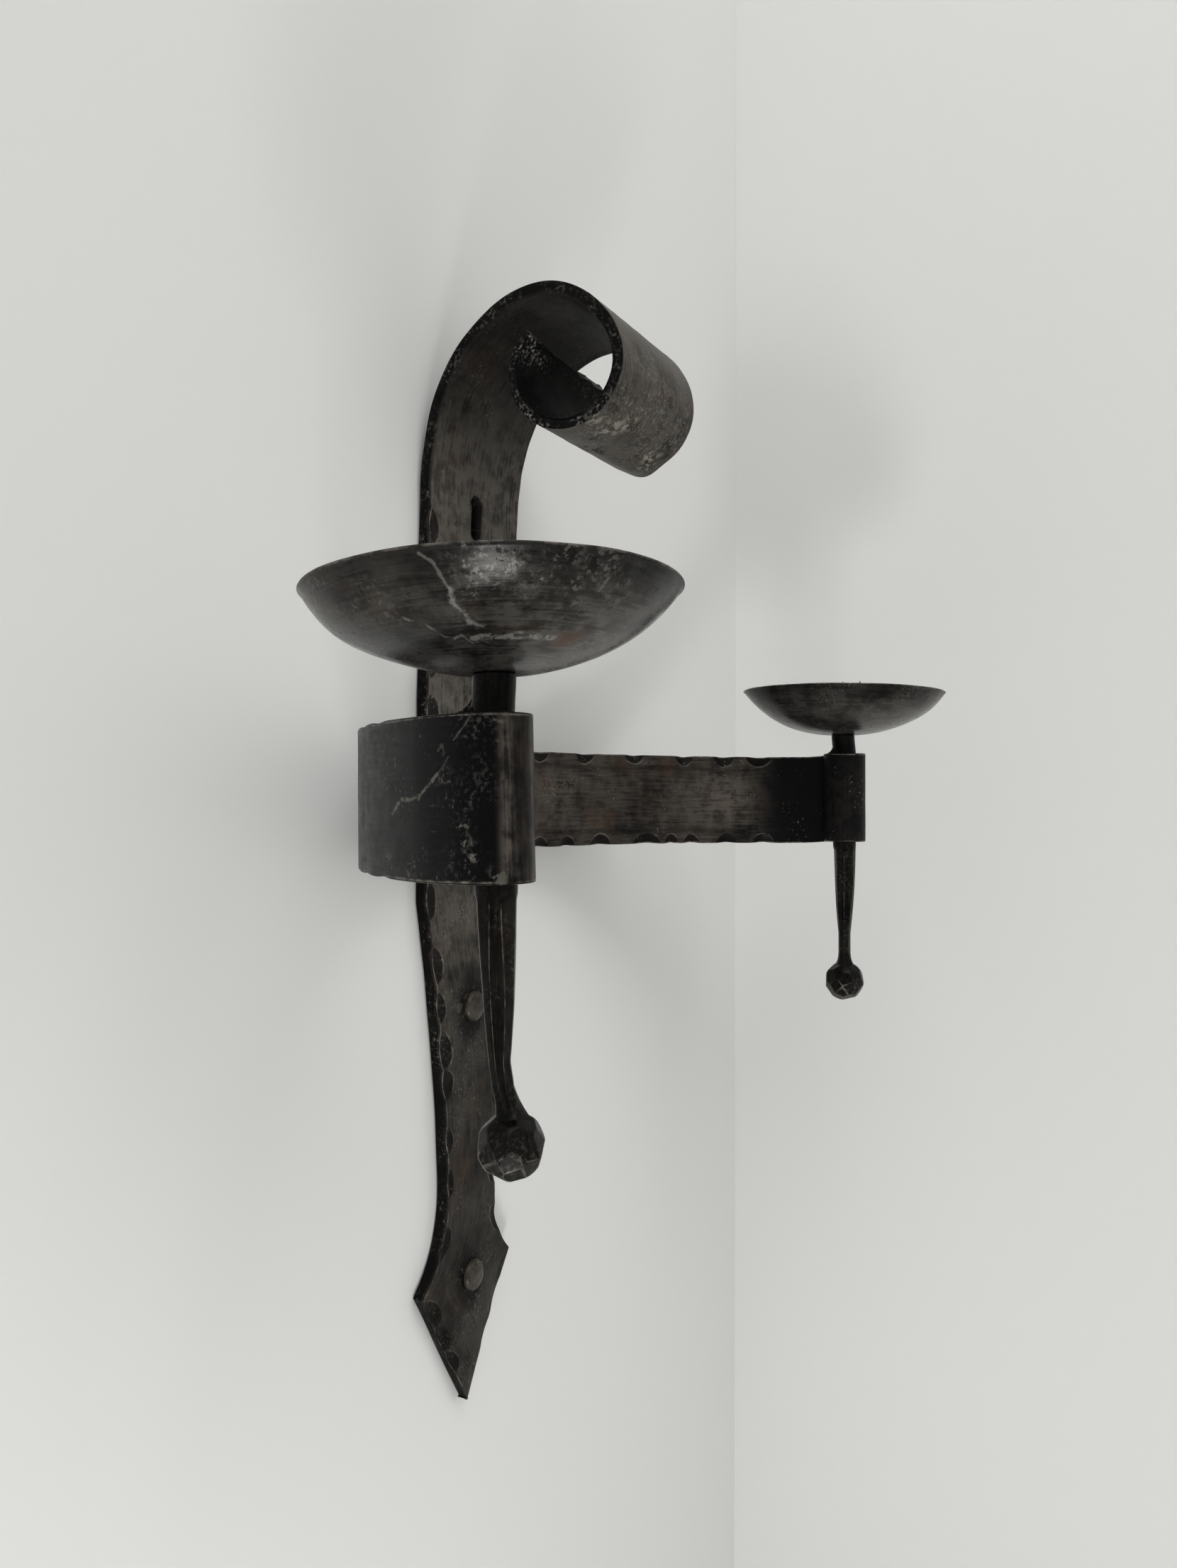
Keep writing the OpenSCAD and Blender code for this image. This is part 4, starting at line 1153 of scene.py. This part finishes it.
class SconceSizes(bpy.types.PropertyGroup):
    """Sizes of the forged pieces."""

    bar_width: length("Bar width", "Width of the flat bar above its taper", 0.060)
    bar_thickness: length("Bar thickness", "Thickness of the flat bar", 0.006)
    bar_rise: length("Bar rise", "Height at which the bar leaves the wall", 0.0789)
    taper_depth: length("Taper depth", "Depth at which the taper starts", 0.039)
    neck_width: length("Neck width", "Width of the neck above the foot", 0.032)
    neck_depth: length("Neck depth", "Depth of the neck", 0.154)
    foot_depth: length("Foot depth", "Depth of the foot's corners", 0.187)
    scroll_length: length("Scroll length", "Length of the scroll along the bar's back", 0.27227)
    tail_thickness: length("Tail thickness", "Thickness at the scroll's end", 0.0033)
    scroll_skew: turn("Scroll skew", "How far the scroll's near edge stands above its far edge", 0.4)
    scroll_twist: turn("Scroll twist", "How far the scroll is turned about the upright", -0.63)
    slot_width: length("Slot width", "Width of the hanging slot", 0.008)
    slot_length: length("Slot length", "Length of the hanging slot", 0.018)
    slot_rise: length("Slot rise", "Height of the slot's middle", 0.112)
    stem_rivet_depth: length("Upper rivet depth", "Depth of the rivet in the bar's taper", 0.082)
    foot_rivet_depth: length("Lower rivet depth", "Depth of the rivet in the foot", 0.188)
    arm_rivet_pitch: length("Arm rivet pitch", "Distance between the arm's rivets", 0.022)
    rivet_head: length("Rivet head", "Diameter of a rivet's head", 0.012)
    rivet_head_height: length("Rivet head height", "Height of a rivet's head", 0.0032)
    rivet_shank: length("Rivet shank", "Diameter of a rivet's shank", 0.006)
    arm_thickness: length("Arm thickness", "Thickness of the arm", 0.0042)
    arm_seat: length("Arm seat", "Length of the arm's straight seat", 0.028)
    bow_radius: length("Bow radius", "Outer radius of the arm's bow", 0.154)
    bow_turn: turn("Bow turn", "Angle of the arm's bow on each side", 64)
    bend_radius: length("Bend radius", "Outer radius of the bend before the eye", 0.047)
    rod_diameter: length("Rod diameter", "Diameter of the torch rod", 0.0105)
    stem_diameter: length("Stem diameter", "Diameter of the forged stem at its top", 0.0104)
    stem_neck_diameter: length("Stem neck diameter", "Diameter of the forged stem at its neck", 0.0057)
    stem_neck_depth: length("Stem neck depth", "Depth of the stem's neck", 0.0615)
    flare_depth: length("Flare depth", "Depth at which the stem flares", 0.071)
    ball_diameter: length("Ball diameter", "Diameter of the hammered ball", 0.017)
    ball_depth: length("Ball depth", "Depth of the ball's middle", 0.084)
    left_ball_drift: length("Left ball drift", "How far the left ball was bent to the front", 0.004)
    left_stem_short: length("Left stem short", "How much shorter the left stem came out", 0.00275)
    eye_lift: length("Eye lift", "How much higher the right eye was rolled", 0.0012)
    left_lean: turn("Left lean", "Lean of the left end out of upright", 1.25)
    left_pan_tilt: turn("Left pan tilt", "Tilt of the left pan towards the wall", 1.5)
    pan_diameter: length("Pan diameter", "Diameter of a drip pan", 0.092)
    pan_depth: length("Pan depth", "Depth of a drip pan", 0.0204)
    pan_thickness: length("Pan sheet", "Thickness of the pan's sheet", 0.002)
    claw_diameter: length("Claw diameter", "Diameter of the claw's plate", 0.025)
    thorn_circle: length("Thorn circle", "Diameter of the circle that the thorns stand on", 0.0176)
    thorn_diameter: length("Thorn diameter", "Diameter of a thorn", 0.003)


class SconceFinish(bpy.types.PropertyGroup):
    """Colours of the blackened iron."""

    bar_dark: colour("Bar, dark", "Dark iron of the bar", (0.0105, 0.0096, 0.0083))
    bar_light: colour("Bar, brushed", "Brushed iron of the bar", (0.064, 0.0575, 0.0495))
    arm_dark: colour("Arm, dark", "Dark iron of the arm", (0.0085, 0.0078, 0.007))
    arm_light: colour("Arm, brushed", "Brushed iron of the arm", (0.056, 0.048, 0.0405))
    arm_skin: colour("Arm, outside", "Smooth blackened outside of the arm", (0.0082, 0.0084, 0.0088))
    rod_dark: colour("Rod, dark", "Dark iron of torches and claws", (0.0013, 0.0013, 0.0015))
    rod_light: colour("Rod, worn", "Worn iron of torches and claws", (0.0088, 0.0080, 0.0068))
    pan_dark: colour("Pan, dark", "Dark iron of the pans", (0.0105, 0.0100, 0.0092))
    pan_light: colour("Pan, brushed", "Brushed iron of the pans", (0.060, 0.0575, 0.052))
    rivet_dark: colour("Rivet, dark", "Dark iron of the rivets", (0.026, 0.023, 0.019))
    rivet_light: colour("Rivet, worn", "Worn iron of the rivets", (0.11, 0.098, 0.082))
    wall: colour("Wall", "Pale wall behind the sconce", (0.70, 0.70, 0.685))
    floor: colour("Floor", "Pale floor below the sconce", (0.68, 0.68, 0.665))


# ---------------------------------------------------------------- operators


class SCONCE_OT_back_bar(bpy.types.Operator):
    """Forge the flat bar with its arrow foot, hammered edges, slot and scroll"""

    bl_idname = "sconce.back_bar"
    bl_label = "Back bar"

    def execute(self, context):
        finish = context.scene.sconce_finish
        crust, dent = (0.30, 0.285, 0.235), (0.004, 0.004, 0.0038)
        rust, scuff = (0.050, 0.024, 0.016), (0.20, 0.19, 0.165)
        iron = forged_iron(
            "bar_iron", finish.bar_dark, finish.bar_light, rough=0.44, metal=0.3, brush=0.62, specks=0.32, rust=0.45,
            spots=(((-16, -75, 133), 8, crust, 0.9, 330), ((-10, -79, 136), 6, crust, 0.8, 420),
                   ((-27, -75, 133), 5, crust, 0.8, 420), ((18, -75, 133), 7, crust, 0.9, 330),
                   ((23, -70, 131), 7, crust, 0.85, 420), ((6, -84, 141), 9, scuff, 0.5, 560),
                   ((-3, -61, 130), 9, dent, 0.85, 240), ((-14, -68, 130), 6, dent, 0.7, 300),
                   ((10, -64, 129), 6, dent, 0.6, 300), ((4, -86, 148), 14, scuff, 0.4, 640),
                   ((-15, -6, 117), 7, rust, 0.6, 300), ((-11, -8, 136), 6, rust, 0.5, 300),
                   ((-9, -6, -79), 9, scuff, 0.25, 420), ((-24.5, -5, -146), 1.4, (0.45, 0.44, 0.42), 0.9, 0),
                   ((-12, -6, -198), 7, rust, 0.3, 260), ((-8, -6, -45), 8, scuff, 0.35, 700),
                   ((3, -6, -38), 8, scuff, 0.30, 700)))
        hand_over(build_bar(context.scene.sconce_sizes), iron, "bar_iron", "back_bar")
        return {"FINISHED"}


class SCONCE_OT_arm(bpy.types.Operator):
    """Forge the bowed arm with notched edges and rolled eyes"""

    bl_idname = "sconce.arm"
    bl_label = "Arm"

    def execute(self, context):
        finish = context.scene.sconce_finish
        scuff, dent, mark = (0.12, 0.115, 0.105), (0.003, 0.003, 0.003), (0.16, 0.15, 0.13)
        iron = forged_iron(
            "arm_iron", finish.arm_dark, finish.arm_light, skin=finish.arm_skin, rough=0.38, metal=0.3, gloss=0.07,
            brush=0.55, specks=0.3, rust=0.5, black=(0.0015, 0.0015, 0.0018), pits=0.7,
            lines=((((9.6, -200.8), (5.8, -197.1), (2.4, -193.0), (-0.1, -188.8), (0, -179.5), (-3.8, -173.2)),
                    0.30, scuff, 0.35, 0),
                   (((5.8, -197.1), (2.4, -193.0), (-0.1, -188.8), (0, -179.5), (-3.8, -173.2)),
                    0.75, mark, 0.7, 620),
                   (((13.5, -202.4), (16.7, -205.7), (19, -207.5)), 0.4, scuff, 0.4, 0),
                   (((1.1, -141.4), (-4.3, -142.3), (-13.4, -135.8)), 0.5, dent, 0.9, 0),
                   (((-4.3, -142.3), (-4.8, -148.4), (-3.9, -153.3)), 0.35, dent, 0.9, 0),
                   (((18.6, -155), (13.5, -155.4)), 0.5, dent, 0.8, 0)),
            spots=(((-157, -110.5, -5), 2.6, mark, 0.7, 560), ((-157, -111, -9.5), 3.4, mark, 0.8, 520),
                   ((-157, -113, -12.5), 2.6, mark, 0.7, 560), ((-145, -79, -15), 4, mark, 0.6, 800),
                   ((-155, -119, 19.5), 3.0, mark, 0.5, 420), ((-155, -119.5, 13), 2.2, mark, 0.5, 420),
                   ((-152, -121, -8), 3.0, dent, 0.7, 420), ((-151.5, -121.5, -14), 3.6, dent, 0.75, 420),
                   ((-152, -91, -17), 4.5, mark, 0.6, 800), ((-148, -84, 9.7), 2.6, mark, 0.6, 800),
                   ((-156, -104, 5.6), 1.6, mark, 0.6, 600), ((-156, -104, 12), 2.0, mark, 0.5, 800),
                   ((-156, -118, 0), 1.2, mark, 0.8, 500), ((-154, -119.5, -17.5), 5, (0.10, 0.095, 0.08), 0.7, 420),
                   ((-152, -121, -18), 2.4, dent, 0.9, 0), ((-127, -56, 18), 6, (0.075, 0.072, 0.066), 0.7, 420),
                   ((-139, -70, 15), 5, dent, 0.6, 460), ((129, -64, 3), 13, (0.13, 0.115, 0.095), 0.3, 300),
                   ((46, -14, 3), 9, mark, 0.45, 760), ((57, -17, 7), 8, mark, 0.35, 760)))
        hand_over(build_arm(context.scene.sconce_sizes), iron, "arm_iron", "arm")
        return {"FINISHED"}


class SCONCE_OT_torches(bpy.types.Operator):
    """Forge the two torches: rod, eight-sided stem and hammered ball"""

    bl_idname = "sconce.torches"
    bl_label = "Torches"

    def execute(self, context):
        finish = context.scene.sconce_finish
        iron = forged_iron(
            "torch_iron", finish.rod_dark, finish.rod_light, rough=0.30, metal=0.2, gloss=0.06, brush=0.7,
            specks=0.4, rust=0.5, pits=0.35, worn=(0.085, 0.078, 0.068), pale=(0.15, 0.135, 0.115))
        for piece, node in zip(build_torches(context.scene.sconce_sizes), ("left_torch", "right_torch")):
            hand_over(piece, iron, "rod_iron", node)
        return {"FINISHED"}


class SCONCE_OT_pans(bpy.types.Operator):
    """Dish the two drip pans"""

    bl_idname = "sconce.pans"
    bl_label = "Drip pans"

    def execute(self, context):
        finish = context.scene.sconce_finish
        light, pale, pit = (0.24, 0.235, 0.215), (0.17, 0.165, 0.15), (0.004, 0.004, 0.004)
        iron = forged_iron(
            "pan_iron", finish.pan_dark, finish.pan_light, rough=0.26, metal=0.65, gloss=0.08, brush=0.5, specks=0.3,
            rust=0.4, pits=0.6, pale=(0.24, 0.23, 0.205),
            lines=((((46.9, 135.7), (44.8, 137.9), (39, 139.8), (36, 139.5), (32.4, 141.8), (29.5, 142.8),
                     (28.2, 145.8)), 0.55, pale, 0.55, 0),
                   (((39, 139.8), (36, 139.5), (32.4, 141.8), (29.5, 142.8), (28.2, 145.8)), 1.1, light, 0.6, 520),
                   (((33.2, 125.6), (29.9, 129.9), (24.7, 132.3), (23.6, 135.4)), 0.6, pale, 0.7, 620),
                   (((23.6, 135.4), (24.8, 138.4), (21.3, 141.1)), 0.6, pale, 0.8, 0),
                   (((23.4, 141.8), (24, 147.1), (23.7, 152.2), (24.3, 157.6), (24.3, 163.1), (24.2, 169.4)),
                    1.6, light, 0.95, 360),
                   (((39.5, 173.3), (42.6, 173.9)), 0.5, pale, 0.6, 0)),
            spots=(((-155.2, -137.3, 36.8), 6, (0.075, 0.040, 0.024), 0.75, 0),
                   ((-147, -137, 36.2), 6, pale, 0.6, 520), ((-163, -144.4, 42.7), 3.6, pale, 0.6, 620),
                   ((-168, -146.3, 46), 3.5, pale, 0.6, 620), ((-183.3, -111.8, 42.2), 3, pale, 0.5, 620),
                   ((-181.3, -104.5, 41.2), 4, pale, 0.4, 620), ((-183.5, -138.2, 50.3), 2.4, pit, 0.9, 500),
                   ((-180.1, -141.3, 49.6), 2.6, pit, 0.8, 560), ((-173.6, -147.8, 50.2), 5, pit, 0.75, 420),
                   ((-166.5, -152.2, 50.4), 6, pit, 0.75, 420), ((-174.6, -148.4, 51), 6, pale, 0.5, 560),
                   ((-165.2, -151.5, 49.2), 7, pale, 0.5, 560), ((-181.2, -138.9, 48.9), 5, pale, 0.4, 420),
                   ((-157.4, -150.9, 46), 6, pale, 0.4, 520), ((140, -158, 44), 9, (0.10, 0.088, 0.055), 0.5, 300),
                   ((128, -154, 44), 9, pit, 0.5, 260)))
        for side, node in ((LEFT, "left_drip_pan"), (RIGHT, "right_drip_pan")):
            hand_over(build_pan(side, context.scene.sconce_sizes), iron, "pan_iron", node)
        return {"FINISHED"}


class SCONCE_OT_claws(bpy.types.Operator):
    """Make the claw plates and their thorns"""

    bl_idname = "sconce.claws"
    bl_label = "Candle claws"

    def execute(self, context):
        sizes, finish = context.scene.sconce_sizes, context.scene.sconce_finish
        iron = forged_iron("claw_iron", finish.rod_dark, finish.rod_light, metal=0.3, specks=0.4)
        for side, word in SIDES:
            hand_over(build_claw(side, sizes), iron, "rod_iron", f"{word}_claw_plate")
            feet = []
            for k in range(3):
                angle = math.radians(76 + 120 * k)
                x = side * (TORCH_X * MM + sizes.thorn_circle / 2 * math.cos(angle))
                feet.append((x, TORCH_Y * MM + sizes.thorn_circle / 2 * math.sin(angle), CLAW_TOP * MM))
            high = (THORN_TOP - CLAW_TOP) * MM
            thorns = grow(f"{word}_thorns_forged", feet, thorn_tree, {
                "Height": high, "Root": (CLAW_TOP - PAN_FLOOR) * MM, "Radius": sizes.thorn_diameter / 2,
                "Point": 0.005, "Bend": 0.0004, "Seed": 5, "Material": iron},
                {"size": [0.943, 0.935, 1.0]})
            points = np.array([vertex.co for vertex in thorns.data.vertices]) / MM
            moved = settle(side, points, sizes) * MM
            thorns.data.vertices.foreach_set("co", moved.astype(np.float32).ravel())
            hand_over(thorns, iron, "rod_iron", f"{word}_thorns")
        return {"FINISHED"}


class SCONCE_OT_rivets(bpy.types.Operator):
    """Set the rivets of the bar and the arm"""

    bl_idname = "sconce.rivets"
    bl_label = "Rivets"

    def execute(self, context):
        sizes, finish = context.scene.sconce_sizes, context.scene.sconce_finish
        iron = forged_iron("rivet_iron", finish.rivet_dark, finish.rivet_light, rough=0.42, metal=0.35, brush=0.2,
                           specks=0.7, rust=0.6)
        for name, heights, stack, seed in (
                ("bar_rivets", (-sizes.stem_rivet_depth, -sizes.foot_rivet_depth), sizes.bar_thickness, 3),
                ("arm_rivets", (-sizes.arm_rivet_pitch / 2, sizes.arm_rivet_pitch / 2),
                 sizes.bar_thickness + sizes.arm_thickness, 4)):
            feet = [(0.0, -stack, z) for z in heights]
            rivets = grow(f"{name}_forged", feet, rivet_tree, {
                "Head Radius": sizes.rivet_head / 2, "Head Height": sizes.rivet_head_height,
                "Shank Radius": sizes.rivet_shank / 2, "Stack": stack, "Seed": seed, "Material": iron})
            hand_over(rivets, iron, "rivet_iron", name)
        return {"FINISHED"}


class SCONCE_OT_welds(bpy.types.Operator):
    """Lay the weld beads between rods and eyes"""

    bl_idname = "sconce.welds"
    bl_label = "Welds"

    def execute(self, context):
        finish = context.scene.sconce_finish
        iron = forged_iron("weld_iron", finish.rod_dark, finish.arm_light, rough=0.45, metal=0.3, brush=0.1)
        for side, word in SIDES:
            hand_over(build_weld(side, context.scene.sconce_sizes), iron, "rod_iron", f"{word}_weld")
        return {"FINISHED"}


def stage_material(name, tint, see_through_back):
    """Pale, matt stage surface; where asked it can't be seen from behind."""
    material = bpy.data.materials.new(name)
    material.use_nodes = True
    tree = material.node_tree
    tree.nodes.clear()
    start = Wire(tree)
    surface = start.node("ShaderNodeBsdfDiffuse", None, {"Color": rgba(tint)})
    if see_through_back:
        clear = start.node("ShaderNodeBsdfTransparent")
        back = start.node("ShaderNodeNewGeometry", output=6)
        surface = start.node("ShaderNodeMixShader", None, {0: back, 1: surface, 2: clear})
    start.node("ShaderNodeOutputMaterial", None, {"Surface": surface})
    return material


def lay_sheet(name, corners, material):
    mesh = bpy.data.meshes.new(name)
    mesh.from_pydata(corners, [], [(0, 1, 2, 3)])
    mesh.materials.append(material)
    sheet = bpy.data.objects.new(name, mesh)
    bpy.context.scene.collection.objects.link(sheet)
    return sheet


def soft_light(name, place, aim, size, energy, tint=(1, 1, 1)):
    lamp = bpy.data.lights.new(name, "AREA")
    lamp.shape, lamp.size, lamp.size_y = "RECTANGLE", size[0], size[1]
    lamp.energy, lamp.color = energy, tint
    light = bpy.data.objects.new(name, lamp)
    light.location = place
    light.rotation_euler = (Vector(aim) - Vector(place)).to_track_quat("-Z", "Y").to_euler()
    bpy.context.scene.collection.objects.link(light)
    return light


class SCONCE_OT_stage(bpy.types.Operator):
    """Set up the wall, floor, light and camera"""

    bl_idname = "sconce.stage"
    bl_label = "Stage"

    def execute(self, context):
        finish = context.scene.sconce_finish
        scene = context.scene
        paint = stage_material("wall_paint", finish.wall, True)
        for name, ends in (("wall", ((-4, WALL_GAP), (CORNER, WALL_GAP))),
                           ("side_wall", ((CORNER, WALL_GAP), (CORNER, -2.5)))):
            first, last = ends
            lay_sheet(name, [(*first, FLOOR), (*last, FLOOR), (*last, CEILING), (*first, CEILING)], paint)
        lay_sheet("floor", [(-5, -5, FLOOR), (5, -5, FLOOR), (5, 5, FLOOR), (-5, 5, FLOOR)],
                  stage_material("floor_paint", finish.floor, False))
        world = bpy.data.worlds.new("studio")
        scene.world = world
        world.use_nodes = True
        tree = world.node_tree
        tree.nodes.clear()
        start = Wire(tree)
        path = start.node("ShaderNodeLightPath")
        seen = path.math("MAXIMUM", path, path.part("Is Glossy Ray"))
        seen = seen.math("MAXIMUM", seen, path.part("Is Transmission Ray"))
        strength = seen * 0.10 + 0.56
        glow = start.node("ShaderNodeBackground", None, {"Color": (0.94, 0.94, 0.93, 1), "Strength": strength})
        start.node("ShaderNodeOutputWorld", None, {"Surface": glow})
        soft_light("window", (0.9, -1.9, 1.4), (0, 0, 0), (1.2, 1.2), 43)
        soft_light("ceiling", (-0.7, -0.9, 1.7), (0, 0, 0), (1.5, 1.0), 22)
        soft_light("low_glow", (-0.475, -0.385, -0.68), (-0.18, -0.14, 0.05), (0.17, 0.20), 3.3)
        right, up, forward = camera_axes()
        lens = bpy.data.cameras.new("camera")
        lens.lens, lens.sensor_width = CAMERA_LENS, 36
        lens.clip_start, lens.clip_end = 0.02, 50
        camera = bpy.data.objects.new("camera", lens)
        scene.collection.objects.link(camera)
        camera.matrix_world = Matrix.Translation(CAMERA_PLACE) @ Matrix((right, up, -forward)).transposed().to_4x4()
        scene.camera = camera
        scene.view_settings.view_transform = "Standard"
        return {"FINISHED"}


OPERATORS = (SCONCE_OT_stage, SCONCE_OT_back_bar, SCONCE_OT_arm, SCONCE_OT_torches, SCONCE_OT_pans,
             SCONCE_OT_claws, SCONCE_OT_rivets, SCONCE_OT_welds)


class SCONCE_PT_panel(bpy.types.Panel):
    """Buttons for the stage and each piece of the sconce"""

    bl_idname = "SCONCE_PT_panel"
    bl_label = "Forged sconce"
    bl_space_type = "VIEW_3D"
    bl_region_type = "UI"
    bl_category = "Sconce"

    def draw(self, context):
        for operator in OPERATORS:
            self.layout.operator(operator.bl_idname)
        for group in (context.scene.sconce_sizes, context.scene.sconce_finish):
            for key in group.bl_rna.properties.keys():
                if key not in ("rna_type", "name"):
                    self.layout.prop(group, key)


CLASSES = (SconceSizes, SconceFinish, *OPERATORS, SCONCE_PT_panel)


def register():
    for item in CLASSES:
        bpy.utils.register_class(item)
    bpy.types.Scene.sconce_sizes = bpy.props.PointerProperty(type=SconceSizes)
    bpy.types.Scene.sconce_finish = bpy.props.PointerProperty(type=SconceFinish)


def unregister():
    del bpy.types.Scene.sconce_sizes, bpy.types.Scene.sconce_finish
    for item in reversed(CLASSES):
        bpy.utils.unregister_class(item)


def main():
    register()
    bpy.ops.sconce.stage()
    bpy.ops.sconce.back_bar()
    bpy.ops.sconce.arm()
    bpy.ops.sconce.torches()
    bpy.ops.sconce.pans()
    bpy.ops.sconce.claws()
    bpy.ops.sconce.rivets()
    bpy.ops.sconce.welds()


if __name__ == "__main__":
    main()
